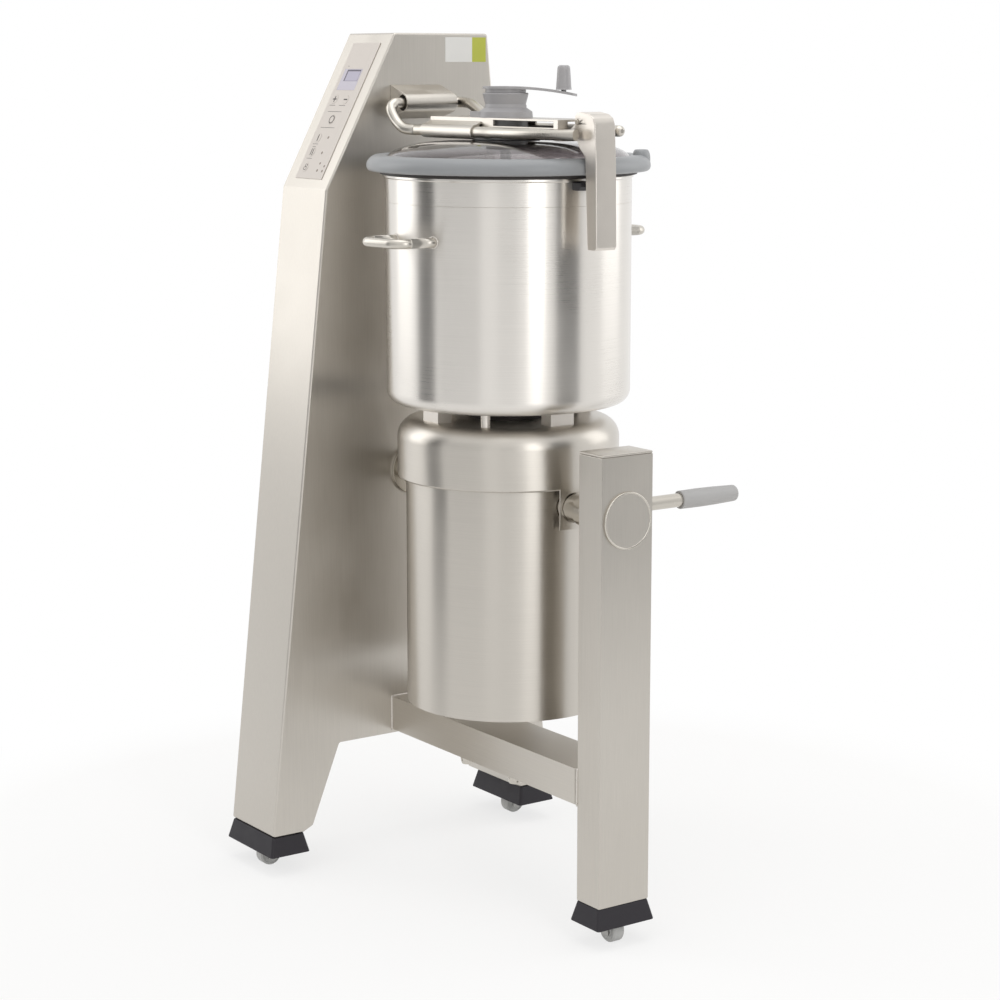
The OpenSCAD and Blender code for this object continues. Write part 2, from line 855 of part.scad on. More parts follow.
module lever_rod() {
    y0 = trunnion_r / 2 + over * 2;
    color("#d0ccc6") translate([bowl_x + lever_x, 0, tilt_z])
        bar_y(y0, lever_l - grip_r, lever_r);
}

module lever_grip() {
    y0 = lever_l - grip_l;
    r = grip_r;
    n = grip_r * 0.9;
    tip = 4;
    color("#b4b4b7") translate([bowl_x + lever_x, 0, tilt_z]) rotate([-90, 0, 0]) difference() {
        rotate_extrude() polygon(concat(
            [[0, y0], [r - over, y0], [r, y0 + over], [r * 1.03, y0 + grip_l / 3], [r, y0 + grip_l * 0.6]],
            [for (a = [0 : 15 : 90]) [n - tip + tip * cos(a), lever_l - tip + tip * sin(a)]],
            [[0, lever_l]]
        ));
        translate([0, 0, y0 - over])
            cylinder(r = lever_r + run_gap, h = grip_l - grip_r + over + run_gap);
    }
}

// Bowl
module bowl() {
    r = bowl_r;
    t = bowl_wall;
    q = bowl_round;
    z = bowl_z;
    arc = [for (a = [-90 : 10 : 0]) [r - q + q * cos(a), z + q + q * sin(a)]];
    arc_in = [for (a = [0 : -10 : -90]) [r - q + (q - t) * cos(a), z + q + (q - t) * sin(a)]];
    color("#d3cfca") on_axis() rotate_extrude() polygon(concat(
        [[chimney_r - t, z]],
        arc,
        [[r, seam_z], [r - t, seam_z]],
        arc_in,
        [[chimney_r, z + t], [chimney_r, chimney_top_z], [chimney_r - t, chimney_top_z]]
    ));
}

collar_groove = 0.5;
rim_lip = 2;
module bowl_collar() {
    r = bowl_r;
    t = bowl_wall;
    lip = rim_lip;
    g = collar_groove;
    color("#d3cfca") on_axis() rotate_extrude() polygon([
        [r - t, seam_z], [r - g, seam_z], [r - g, seam_z + g], [r, seam_z + 2 * g],
        [r, rim_z - lip * 3], [r + lip, rim_z - lip * 2], [r + lip, rim_z - lip / 2],
        [r + lip / 2, rim_z], [r - t, rim_z]
    ]);
}

// A handle: a round bar bent into a U, its ends on the bowl's wall
module handle() {
    b = handle_bar_r;
    bend = handle_bar_r * 3;
    half = handle_w / 2;
    y_wall = sqrt(pow(bowl_r, 2) - pow(half + b, 2)) + over / 2;
    y_out = bowl_r + handle_out - b;
    difference() {
        union() {
            for (side = [-1, 1]) {
                bar_y(y_wall - over * 4, y_out - bend, b, side * half, 0);
                translate([side * (half - bend), y_out - bend, 0])
                    rotate([0, 0, side > 0 ? 0 : 90])
                        rotate_extrude(angle = 90) translate([bend, 0]) circle(r = b);
            }
            bar_x(-(half - bend), half - bend, b, y_out, 0);
        }
        translate([0, 0, -b - over]) cylinder(r = bowl_r, h = 2 * (b + over));
    }
}
module bowl_handles() {
    color("#d5d1cc") on_axis() translate([0, 0, handle_z]) rotate([0, 0, handle_turn]) {
        handle();
        rotate([0, 0, 180]) handle();
    }
}

// The catch on the bowl's collar that the clamp holds
module bowl_catch() {
    z1 = rim_z - 3 * rim_lip;
    z0 = z1 - catch_h;
    color("#1f1d20") on_axis() difference() {
        slab_y(-catch_w / 2, catch_w / 2) polygon([
            [bowl_r - catch_out / 2, z0], [bowl_r + catch_out - catch_h / 2, z0],
            [bowl_r + catch_out, z0 + catch_h / 2], [bowl_r + catch_out, z1], [bowl_r - catch_out / 2, z1]
        ]);
        translate([0, 0, z0 - over]) cylinder(r = bowl_r + run_gap, h = catch_h + 2 * over);
    }
}

lug_turns = [-92, 0, 88, 180];
lug_w = 44;
lug_d = 25;
foot_pin_turns = [-50, 130];
foot_pin_r = 7.5;
// Four lugs and two pins on the cap drum's flat top that carry the bowl
module bowl_feet() {
    r = cap_r - cap_round;
    color("#bdb8b0") on_axis() {
        for (a = lug_turns)
            rotate([0, 0, a]) translate([r - lug_d, -lug_w / 2, cap_top_z]) cube([lug_d, lug_w, foot_h]);
        for (a = foot_pin_turns)
            rotate([0, 0, a]) translate([r - foot_pin_r, 0, cap_top_z])
                cylinder(r = foot_pin_r, h = foot_h);
    }
}

module shaft_seal() {
    r = seal_ring_r;
    color("#2c2a2c") on_axis() translate([0, 0, cap_top_z]) rotate_extrude() polygon([
        [shaft_r + gap, 0], [r, 0], [r, seal_ring_h * 0.6], [r - seal_ring_h / 2, seal_ring_h],
        [shaft_r + gap * 4, seal_ring_h], [shaft_r + gap, seal_ring_h / 2]
    ]);
}

// Drive
module drive_shaft() {
    z0 = motor_z + fin_l;
    color("#b6b3ae") on_axis() {
        translate([0, 0, z0]) cylinder(r = shaft_r, h = chimney_top_z - z0);
        translate([0, 0, chimney_top_z - over])
            cylinder(r = shaft_r * 0.8, h = gap + hub_top_t + nut_h / 2 + over);
    }
}
module motor_rotor() {
    z0 = motor_z + bearing_seat + gap;
    l = motor_l - 2 * (bearing_seat + gap);
    color("#8a7f6f") on_axis() difference() {
        translate([0, 0, z0]) cylinder(r = rotor_r, h = l);
        translate([0, 0, z0 - over]) cylinder(r = shaft_r, h = l + 2 * over);
    }
}
module blade_hub() {
    z1 = hub_top_z;
    bore = shaft_r * 0.8 + run_gap;
    color("#c9c5bf") on_axis() rotate_extrude() polygon([
        [chimney_r + over, hub_foot_z], [hub_r, hub_foot_z], [hub_r, z1 - 3 * over],
        [hub_r - 3 * over, z1], [bore, z1], [bore, z1 - hub_top_t],
        [chimney_r + over, z1 - hub_top_t]
    ]);
}
// Two pairs of curved blades on the hub, one low and one a step higher and turned
module blade_pair() {
    for (a = [0, 180])
        rotate([0, 0, a]) linear_extrude(blade_t) difference() {
            intersection() {
                circle(r = blade_r);
                translate([0, -blade_w / 2]) square([blade_r, blade_w]);
                translate([blade_r / 2, -blade_r * 0.75]) circle(r = blade_r * 0.88);
            }
            circle(r = hub_r + run_gap);
        }
}
module blades() {
    color("#d8d6d2") on_axis() {
        translate([0, 0, blade_foot_z]) blade_pair();
        translate([0, 0, blade_foot_z + blade_step]) rotate([0, 0, 90]) blade_pair();
    }
}
module blade_nut() {
    bore = shaft_r * 0.8 + run_gap;
    lobe = 3;
    color("#3b3b40") on_axis() translate([0, 0, hub_top_z]) difference() {
        union() {
            cylinder(r = nut_r, h = nut_h - lobe);
            translate([0, 0, nut_h - lobe]) cylinder(r1 = nut_r, r2 = nut_r - lobe, h = lobe);
            for (a = [0 : 60 : 300])
                rotate([0, 0, a]) translate([nut_r - over, 0, 0]) cylinder(r = lobe * 1.5, h = nut_h - lobe);
        }
        translate([0, 0, -over]) cylinder(r = bore, h = nut_h / 2 + 2 * over);
    }
}

// Lid arm
// A smooth path through points p, from its first to its last one
function spline(p, n) = concat(
    [for (i = [0 : len(p) - 2], k = [0 : n - 1])
        let (
            a = p[max(i - 1, 0)], b = p[i], c = p[i + 1], d = p[min(i + 2, len(p) - 1)], t = k / n,
            q = pow(t, 2), w = pow(t, 3)
        )
        (2 * b + (c - a) * t + (2 * a - 5 * b + 4 * c - d) * q + (3 * b - a - 3 * c + d) * w) / 2],
    [p[len(p) - 1]]
);
function headings(p) = [
    for (i = [0 : len(p) - 1]) unit(p[min(i + 1, len(p) - 1)] - p[max(i - 1, 0)])
];
// A side direction at each point that turns as little as it can along the path
function sides(h, first) = [
    for (i = 0, s = unit(first - (first * h[0]) * h[0]); i < len(h);
         i = i + 1, s = i < len(h) ? unit(s - (s * h[i]) * h[i]) : s) s
];
// A round tube along path p with radius r, its last rings drawn in by the shares in tip
module sweep(p, r, n, first, tip = []) {
    h = headings(p);
    s = sides(h, first);
    rings = len(p);
    function share(i) = i < rings - len(tip) ? 1 : tip[i - rings + len(tip)];
    points = [for (i = [0 : rings - 1], k = [0 : n - 1])
        p[i] + r * share(i) * (s[i] * cos(k * 360 / n) + cross(h[i], s[i]) * sin(k * 360 / n))];
    walls = [for (i = [0 : rings - 2], k = [0 : n - 1], half = [0, 1])
        let (a = i * n + k, b = i * n + (k + 1) % n)
        half == 0 ? [a, a + n, b] : [b, a + n, b + n]];
    polyhedron(
        points = points,
        faces = concat(walls, [[for (k = [0 : n - 1]) k]],
                       [[for (k = [n - 1 : -1 : 0]) (rings - 1) * n + k]])
    );
}

module lid_arm_shaft() {
    color("#b9b3a8") bar_y(-barrel_front - stub, barrel_back + stub, rail_r, bowl_x - hinge_x, hinge_z);
}
// Bends of the two rails as shares of their run, their bulge and their drop
near_bend_shares = [
    [0.02, 0.45, 0.02], [0.065, 1, 0.24], [0.23, 0.95, 0.65], [0.47, 0.8, 0.93],
    [0.70, 0.35, 1], [1, 0, 1]
];
far_bend_shares = [
    [0.013, 1, 0], [0.049, 1.29, 0], [0.111, 1.43, 0.01], [0.19, 1.36, 0.04], [0.33, 0.95, 0.14],
    [0.6, 0.45, 0.52], [0.82, 0.15, 0.9], [1, 0, 1]
];
function bend(shares, run, side, drop) = [
    for (s = shares) [-hinge_x + run * s[0], side * (rail_y + bulge * s[1]), hinge_z - drop * s[2]]
];
near_start = [-hinge_x, -barrel_front - stub, hinge_z];
far_start = [-hinge_x, barrel_back + stub / 4, hinge_z];
function near_points() = concat(
    [near_start],
    bend(near_bend_shares, near_run, -1, hinge_z - rail_z),
    [[saddle_x1, -rail_y, rail_z], [saddle_x1 + bulge * 4, -rail_y - rail_mid_out, rail_z],
     [rail_end_x / 2, -rail_y - rail_mid_out, rail_z], [rail_end_x * 0.78, -rail_y + rail_mid_out, rail_z],
     [rail_end_x, -rail_end_y, rail_z]]
);
function far_points() = concat(
    [far_start],
    bend(far_bend_shares, far_run, 1, hinge_z - far_rail_z),
    [[0, rail_y, far_rail_z], [rail_end_x / 2, rail_y, far_rail_z], [far_end_x, far_end_y, far_rail_z]]
);
module lid_rail_near() {
    color("#b9b3a8") on_axis() sweep(spline(near_points(), spline_steps), rail_r, rail_sides, [1, 0, 0]);
}
tip_shares = [[0.35, 0.94], [0.7, 0.72], [0.93, 0.36]];
module lid_rail_far() {
    p = spline(far_points(), spline_steps);
    last = p[len(p) - 1];
    ahead = unit(last - p[len(p) - 2]);
    color("#b9b3a8") on_axis() sweep(
        concat(p, [for (s = tip_shares) last + ahead * rail_r * s[0]]),
        rail_r, rail_sides, [1, 0, 0], [for (s = tip_shares) s[1]]);
}

// The plate's edge folded round a rail whose middle is at height z
module saddle(z) {
    w = yoke_w / 2;
    t = yoke_t;
    difference() {
        union() {
            translate([-rail_y, z]) circle(r = rail_r + t);
            polygon([
                [-w + 4 * t, yoke_z], [-w + 4 * t, yoke_z - t],
                [-rail_y, z + rail_r - over], [-rail_y - rail_r, z + rail_r / 2 + t]
            ]);
        }
        translate([-rail_y, z]) circle(r = rail_r + run_gap);
    }
}
// The folded plate that joins the rails and carries the lid
module yoke_plate() {
    w = yoke_w / 2;
    t = yoke_t;
    skirt_z = rail_z + rail_r;
    color("#cdc7be") on_axis() difference() {
        union() {
            box([yoke_x0, -w, yoke_z - t], [yoke_x1, w, yoke_z]);
            for (side = [-1, 1])
                box([yoke_x0, side * w - max(0, side) * t, skirt_z - rail_r / 2],
                    [yoke_x1, side * w + max(0, -side) * t, yoke_z]);
            box([yoke_x1 - t, -w, skirt_z], [yoke_x1, w, yoke_z]);
            slab_x(saddle_x0, saddle_x1) saddle(rail_z);
            slab_x(saddle_far_x0, saddle_x1) mirror([1, 0]) saddle(far_rail_z);
        }
        for (side = [-1, 1])
            box(
                [window_x0, side * w - 2 * t, yoke_z - t - window_h],
                [window_x1, side * w + 2 * t, yoke_z - t]
            );
        translate([-funnel_x, 0, yoke_z - t - over])
            cylinder(r = funnel_neck_r + run_gap, h = t + 2 * over);
        box([yoke_x1 - 2 * t, -tongue_w, skirt_z - over], [yoke_x1 + over, tongue_w, yoke_z - t]);
    }
}

// The ring's section from its bore: shares of its width and its height
ring_shares = [[0, 0], [0.784, 0], [0.946, 0.1], [1, 0.28], [0.96, 0.62], [0.838, 0.88], [0.649, 1]];
seat_lip = 3;
seat_chamfer = 2;
module lid_ring() {
    r = ring_r;
    b = ring_bore_r;
    z = ring_z;
    h = ring_h;
    color("#9aa1a3") on_axis() difference() {
        union() {
            rotate_extrude() polygon(concat(
                [for (s = ring_shares) [b + (r - b) * s[0], z + h * s[1]]],
                [[dome_foot_r + seat_lip, z + h], [dome_foot_r + run_gap, z + h - seat_chamfer],
                 [dome_foot_r + run_gap, dome_z], [b, dome_z]]
            ));
            rotate([0, 0, ear_turn]) translate([r - ear_r - ear_in, 0, ring_top - h / 2])
                cylinder(r1 = ear_r, r2 = ear_r - ear_slope, h = h / 2 + ear_h);
        }
        rotate([0, 0, ear_turn]) translate([r - ear_r - ear_in, 0, ring_top + ear_h + pocket_up])
            sphere(r = pocket_r);
    }
}

seal_out = 8;
seal_in = 2;
module lid_seal() {
    r = bowl_r + seal_out;
    b = ring_bore_r + seal_in;
    color("#34302f") on_axis() translate([0, 0, seal_z]) difference() {
        cylinder(r = r, h = seal_t);
        translate([0, 0, -over]) cylinder(r = b, h = seal_t + 2 * over);
    }
}

// The clear dome: shares of its radius and its rise give the profile
dome_shares = [[1, 0.1], [0.975, 0.3], [0.9, 0.56], [0.8, 0.75], [0.66, 0.89], [0.5, 0.96], [0.3, 1]];
module lid_dome() {
    r = dome_foot_r;
    z = dome_z;
    rise = dome_rise + dome_sink;
    t = dome_t;
    hole = wiper_shaft_r + run_gap;
    color("#8b8488", 0.5) on_axis() difference() {
        rotate_extrude() polygon(concat(
            [[r, z]],
            [for (s = dome_shares) [r * s[0], z + rise * s[1]]],
            [[0, z + rise], [0, z + rise - t]],
            [for (i = [len(dome_shares) - 1 : -1 : 0])
                [(r - t) * dome_shares[i][0], z + (rise - t) * dome_shares[i][1]]],
            [[r - t - over, z]]
        ));
        translate([-funnel_x, 0, z]) cylinder(r = hole, h = rise + over);
    }
}

// Grey filler funnel: a neck under the yoke, a stepped base and a cone above it
// Its outside above the yoke: shares of its radius and of its height there
funnel_shares = [
    [1.194, 0], [1.167, 0.237], [0.917, 0.395], [0.917, 0.487], [0.889, 0.539], [1, 0.96], [0.972, 1],
    [0.889, 1]
];
tail_l = 62;
tail_h = 9;
module filler_funnel() {
    z0 = dome_crown_z;
    r = funnel_r;
    h = funnel_z - funnel_base_z;
    color("#96969c") on_axis() translate([-funnel_x, 0, 0]) {
        rotate_extrude() polygon(concat(
            [[wiper_shaft_r + run_gap, z0], [funnel_neck_r, z0], [funnel_neck_r, funnel_base_z]],
            [for (s = funnel_shares) [r * s[0], funnel_base_z + h * s[1]]],
            [[funnel_throat_r, funnel_waist_z], [wiper_shaft_r + run_gap, funnel_waist_z]]
        ));
        translate([0, 0, funnel_base_z]) linear_extrude(tail_h)
            difference() {
                polygon([[0, -r], [0, r], [-tail_l, r * 0.7], [-tail_l, -r * 0.7]]);
                circle(r = r * 0.972);
            }
    }
}

// Cross piece between the rails with the tongue that carries the clamp's pin
block_side = 4;
// Corners of the tongue round the pin, as shares of the tongue's radius
tongue_shares = [[0.83, -0.75], [-0.33, 1.08]];
module clamp_block() {
    z0 = rail_z - cross_drop;
    color("#b3ada3") on_axis() difference() {
        union() {
            box([cross_x0, -rail_end_y - block_side, z0],
                [cross_x1, far_end_y - block_side / 2, z0 + cross_h]);
            slab_y(-tongue_w / 2, tongue_w / 2) union() {
                translate([clamp_pin_x, clamp_pin_z]) circle(r = tongue_r + 1);
                polygon(concat(
                    [[cross_x0, z0 + over], [cross_x1, z0 + over]],
                    [for (s = tongue_shares) [clamp_pin_x + tongue_r * s[0], clamp_pin_z + tongue_r * s[1]]],
                    [[cross_x0 + block_side, z0 + cross_h]]
                ));
            }
        }
        bar_y(-tongue_w, tongue_w, pin_r + run_gap, clamp_pin_x, clamp_pin_z);
    }
}

// The cast clamp lever in side view: shares of its depth in front of the pin and of its length below it
clamp_shares = [
    [-0.102, -0.106], [0.082, -0.201], [0.398, -0.276], [0.429, -0.461], [0.531, -0.958], [0.551, -1],
    [0.939, -1], [1, -0.979], [0.949, -0.313], [0.878, -0.016], [0.796, 0.032], [0.592, 0.063],
    [0.163, 0.079], [-0.041, 0.071], [-0.143, 0.042]
];
// The slot for the tongue, from the pin
slot_in = 30;
slot_out = 10;
slot_down = 60;
slot_up = 9.5;
function clamp_outline() = [
    for (s = clamp_shares)
        [clamp_pin_x + (clamp_x - clamp_pin_x) * s[0], clamp_pin_z + (clamp_pin_z - clamp_z) * s[1]]
];
module clamp_lever() {
    w = clamp_w / 2;
    s = tongue_w / 2 + gap;
    color("#c9c4bd") on_axis() difference() {
        slab_y(-w, w) polygon(clamp_outline());
        box([clamp_pin_x - slot_in, -s, clamp_pin_z - slot_down],
            [clamp_pin_x + slot_out, s, clamp_pin_z + slot_up]);
        bar_y(-w - over, w + over, pin_r + run_gap, clamp_pin_x, clamp_pin_z);
    }
}
module clamp_pin() {
    w = clamp_w / 2 + run_gap;
    color("#8d8a86") on_axis() {
        bar_y(-w, w, pin_r, clamp_pin_x, clamp_pin_z);
        for (side = [-1, 1])
            bar_y(min(side * w, side * (w + pin_head_t)), max(side * w, side * (w + pin_head_t)),
                  pin_r * 1.15, clamp_pin_x, clamp_pin_z);
    }
}

// Lid crank
// Puts children on the crank's axis, turned to where the arm points
module on_crank() {
    on_axis() translate([-funnel_x, 0, 0]) rotate([0, 0, crank_turn]) children();
}
// Height of the crank arm's underside at distance x from its axis
function crank_under(x) = crank_disc_z + crank_disc_h - crank_drop * pow(max(x, 0) / crank_l, 2);
crank_lip = 4;
crank_tip = 6;
module crank_arm() {
    n = 12;
    x0 = -crank_disc_r - crank_lip;
    step = (crank_l - x0) / n;
    half = [
        [0, crank_disc_r + crank_lip / 2], [crank_l * 0.6, crank_w / 2],
        [crank_l - crank_tip, (crank_w - crank_tip) / 2]
    ];
    color("#93939a") on_crank() {
        translate([0, 0, crank_disc_z]) cylinder(r = crank_disc_r, h = crank_disc_h);
        intersection() {
            rotate([90, 0, 0]) translate([0, 0, -crank_disc_r * 2]) linear_extrude(4 * crank_disc_r)
                polygon(concat(
                    [for (i = [0 : n]) [x0 + i * step, crank_under(x0 + i * step)]],
                    [for (i = [n : -1 : 0]) [x0 + i * step, crank_under(x0 + i * step) + crank_skin]]
                ));
            linear_extrude(funnel_z + knob_h) union() {
                circle(r = crank_disc_r + crank_lip);
                polygon(concat(
                    [for (h = half) [h[0], -h[1]]], [[crank_l, 0]], [for (i = [2 : -1 : 0]) half[i]]
                ));
            }
        }
        knob_pin();
    }
}
knob_pin_r = 4;
// The knob's side from its foot to its top: shares of its radius and its height
knob_shares = [[1, 0], [0.96, 0.079], [0.8, 0.868], [0.736, 0.947], [0.52, 1]];
module knob_pin() {
    translate([knob_x, 0, crank_under(knob_x) + crank_skin - over])
        cylinder(r = knob_pin_r, h = knob_h / 2);
}
module crank_knob() {
    z0 = crank_under(knob_x - knob_r) + crank_skin + gap;
    r = knob_r;
    color("#8e8e95") on_crank() translate([knob_x, 0, z0]) difference() {
        rotate_extrude() polygon(concat(
            [[0, 0]], [for (s = knob_shares) [r * s[0], knob_h * s[1]]], [[0, knob_h]]
        ));
        translate([0, 0, -over]) cylinder(r = knob_pin_r + run_gap, h = knob_h / 2 + over);
    }
}
module wiper() {
    r = wiper_shaft_r;
    color("#d9d6cf") on_crank() {
        translate([0, 0, wiper_z]) cylinder(r = r, h = crank_disc_z - wiper_z);
        translate([0, 0, wiper_z]) cylinder(r = r * 2, h = wiper_h);
        for (a = [0, 180])
            rotate([0, 0, a]) box([r, -wiper_w / 2, wiper_z], [wiper_r, wiper_w / 2, wiper_z + wiper_h / 2]);
    }
}

// Keys
module key(p) {
    color("#c6beb6") on_strip() translate([p[0], p[1], 0]) {
        translate([0, 0, overlay_t + key_proud - key_body]) cylinder(r = key_r, h = key_body);
        translate([0, 0, -sheet_t - board_depth + switch_h + key_board_gap])
            cylinder(r = plunger_r, h = sheet_t + board_depth - switch_h - key_board_gap);
    }
}
module key_plus() {
    key(key_plus_at);
}
module key_minus() {
    key(key_minus_at);
}
module key_stop() {
    key(key_stop_at);
}
module key_run_one() {
    key(key_run_one_at);
}
module key_run_two() {
    key(key_run_two_at);
}
module key_pulse() {
    key(key_pulse_at);
}

column_shell();
column_back_panel();
back_panel_screws();
control_overlay();
display_window();
control_board();
inverter_box();
trunnion_bearings();
crossbeam();
beam_dome_nuts();
post();
post_cap();
pivot_cover();
rubber_boots();
castor_forks();
hinge_bracket();
hinge_bushes();
cable_gland();
motor_casing();
motor_cap();
motor_base_plate();
motor_stator();
trunnion_column();
trunnion_post();
lever_rod();
lever_grip();
bowl();
bowl_collar();
bowl_handles();
bowl_catch();
bowl_feet();
shaft_seal();
drive_shaft();
motor_rotor();
blade_hub();
blades();
blade_nut();
lid_arm_shaft();
lid_rail_near();
lid_rail_far();
yoke_plate();
lid_dome();
lid_ring();
lid_seal();
filler_funnel();
clamp_block();
clamp_lever();
clamp_pin();
crank_arm();
crank_knob();
wiper();
key_plus();
key_minus();
key_stop();
key_run_one();
key_run_two();
key_pulse();
wheel_front();
wheel_rear();
wheel_post();
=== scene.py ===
"""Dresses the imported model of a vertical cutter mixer: finishes, rounded parts, prints and stage."""

import math

import bmesh
import bpy
from bpy.props import FloatProperty, FloatVectorProperty, PointerProperty
from mathutils import Matrix, Vector


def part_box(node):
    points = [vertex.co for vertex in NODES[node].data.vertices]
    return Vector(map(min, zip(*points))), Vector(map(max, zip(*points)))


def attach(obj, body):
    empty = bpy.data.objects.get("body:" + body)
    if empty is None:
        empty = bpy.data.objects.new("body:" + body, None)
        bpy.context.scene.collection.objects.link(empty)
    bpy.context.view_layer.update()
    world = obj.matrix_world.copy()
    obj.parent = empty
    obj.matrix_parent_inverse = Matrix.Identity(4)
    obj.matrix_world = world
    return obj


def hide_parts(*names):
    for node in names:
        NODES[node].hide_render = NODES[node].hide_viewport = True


bl_info = {
    "name": "Vertical cutter mixer",
    "version": (1, 0, 0),
    "blender": (4, 5, 0),
    "location": "3D View > Sidebar > Cutter mixer",
    "description": "Finishes and detail for the packed model of a vertical cutter mixer",
    "category": "Object",
}

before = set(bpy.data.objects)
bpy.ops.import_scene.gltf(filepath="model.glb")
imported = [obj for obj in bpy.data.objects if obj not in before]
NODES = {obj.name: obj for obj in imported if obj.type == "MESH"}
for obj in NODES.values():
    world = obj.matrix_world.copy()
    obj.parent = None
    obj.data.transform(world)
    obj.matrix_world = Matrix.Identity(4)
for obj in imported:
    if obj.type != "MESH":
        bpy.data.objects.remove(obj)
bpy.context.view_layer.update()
MM = 0.001

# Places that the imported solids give, in metres
BOWL_LOW, BOWL_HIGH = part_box("bowl")
BOWL_X = (BOWL_LOW.x + BOWL_HIGH.x) / 2
BOWL_R = (BOWL_HIGH.x - BOWL_LOW.x) / 2
SHELL_LOW, SHELL_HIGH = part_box("column_shell")
RING_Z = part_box("lid_ring")[0].z
DOME_LOW, DOME_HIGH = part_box("lid_dome")
TILT_Z = sum(c.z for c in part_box("trunnion_bearings")) / 2

# The column's sloped edge: how far its foot and its top lie from the middle, and its foot's height
SLOPE_FOOT_Y, SLOPE_TOP_Y, SLOPE_FOOT_Z = 0.166, 0.032, 1.148
# The control strip on that slope: its foot and its lean from upright
STRIP_FOOT = Vector(((SHELL_LOW.x + SHELL_HIGH.x) / 2, -SLOPE_FOOT_Y, SLOPE_FOOT_Z))
STRIP_LEAN = math.atan2(SLOPE_FOOT_Y - SLOPE_TOP_Y, SHELL_HIGH.z - SLOPE_FOOT_Z)

# The strip's layers in millimetres, as on_strip takes them: overlay, a key above it, the film on a
# key, and how deep a print sits in what carries it
OVERLAY_MM = 1.2
KEY_RISE = 0.3
KEY_FILM_R = 8.26
PRINT_SINK = 0.05

# Middles of the keys on the strip: millimetres sideways and up the slope
KEY_PLACES = {
    "plus": (-24, 162.4), "minus": (10.5, 162), "stop": (-6, 125), "run_one": (-23.5, 91),
    "run_two": (-23.5, 65), "pulse": (-23.5, 37),
}


# ---- colours and sizes that a user may change


def linear(code):
    """An sRGB hex colour as linear red, green, blue and alpha."""
    channels = [int(code[i : i + 2], 16) / 255 for i in (1, 3, 5)]
    return [c / 12.92 if c <= 0.04045 else ((c + 0.055) / 1.055) ** 2.4 for c in channels] + [1.0]


def colour_property(name, code, description):
    """A colour setting with an sRGB hex default."""
    return FloatVectorProperty(
        name=name, description=description, default=linear(code), size=4, min=0, max=1, subtype="COLOR"
    )


def length_property(name, millimetres, description):
    """A length setting with its default in millimetres."""
    return FloatProperty(
        name=name, description=description, default=millimetres * MM, min=0, subtype="DISTANCE", unit="LENGTH"
    )


def power_property(name, watts, description):
    """A lamp's power setting."""
    return FloatProperty(name=name, description=description, default=watts, min=0, unit="POWER")


class FinishColours(bpy.types.PropertyGroup):
    """Colours of the machine's finishes."""

    sheet: colour_property("Sheet", "#c8c3bb", "Belt-brushed stainless sheet of column and post")
    bowl: colour_property("Bowl", "#dedad4", "Round-brushed stainless of bowl, cap drum and casing")
    tube: colour_property("Tube", "#c9c4bb", "Satin stainless tube and bar")
    cast: colour_property("Cast", "#dcd6ce", "Bead-blasted stainless casting of the clamp")
    ring: colour_property("Ring", "#8e9092", "Moulded lid ring")
    lid_grey: colour_property("Funnel", "#a3a1a2", "Moulded funnel, crank and knob")
    grip: colour_property("Grip", "#adacab", "Moulded grip of the tilt lever")
    rubber: colour_property("Rubber", "#1f1b22", "Rubber boots")
    film: colour_property("Film", "#cac2ba", "Printed polyester film of the control strip")
    print_ink: colour_property("Print", "#3d3833", "Ink of the signs on the control strip")


class MachineSizes(bpy.types.PropertyGroup):
    """Sizes of the detail that is added to the solids."""

    fold: length_property("Sheet fold", 3.6, "Outer radius of the folds of the column's sheet")
    corner: length_property("Column corner", 5, "Radius of the column's bends as seen from the post")
    sheet: length_property("Sheet", 2.5, "Thickness of the column's sheet")
    cast_edge: length_property("Cast edge", 4, "Rounding of the cast clamp lever")
    boot_edge: length_property("Boot edge", 4, "Rounding of the rubber boots")
    print_t: length_property("Print", 0.12, "Thickness of printed signs")
    weld: length_property("Weld", 2.2, "Radius of a weld bead")
    label_t: length_property("Label", 0.3, "Thickness of the blank label")


class StageSettings(bpy.types.PropertyGroup):
    """Light and background."""

    world: FloatProperty(name="World", description="Light of the white room", default=0.8, min=0)
    key: power_property("Key", 15, "Power of the lamp on the left")
    fill: power_property("Fill", 10, "Power of the lamps on the right and behind")
    top: power_property("Top", 24, "Power of the lamp above")


def finishes():
    """The colour settings of this scene."""
    return bpy.context.scene.mixer_finishes


def sizes():
    """The size settings of this scene."""
    return bpy.context.scene.mixer_sizes


# ---- materials


def add_node(tree, kind, inputs=None, **settings):
    """Adds a node, sets its properties, and sets or links its inputs by name or number.

    An input may be a value, an output, or a node, which then gives its first output."""
    node = tree.nodes.new(kind)
    for key, value in settings.items():
        setattr(node, key, value)
    for key, value in (inputs or {}).items():
        if isinstance(value, bpy.types.Node):
            value = value.outputs[0]
        if isinstance(value, bpy.types.NodeSocket):
            tree.links.new(value, node.inputs[key])
        else:
            node.inputs[key].default_value = value
    return node


def blank_material(name):
    """A material with an empty node tree, or None when it is there already."""
    if name in bpy.data.materials:
        return None
    material = bpy.data.materials.new(name)
    material.use_nodes = True
    material.node_tree.nodes.clear()
    return material


def wandering(tree, vector, scale, detail, roughness, *spreads):
    """Fractal noise at a vector, then the same noise spread over each pair of a low and a high value.

    A spread takes the middle half of the noise, where nearly all of it lies."""
    fractal = {"Vector": vector, "Scale": scale, "Detail": detail, "Roughness": roughness}
    noise = add_node(tree, "ShaderNodeTexNoise", fractal)
    middle = {"Value": noise, "From Min": 0.25, "From Max": 0.75}
    spread = [
        add_node(tree, "ShaderNodeMapRange", {**middle, "To Min": low, "To Max": high})
        for low, high in spreads
    ]
    return noise, *spread


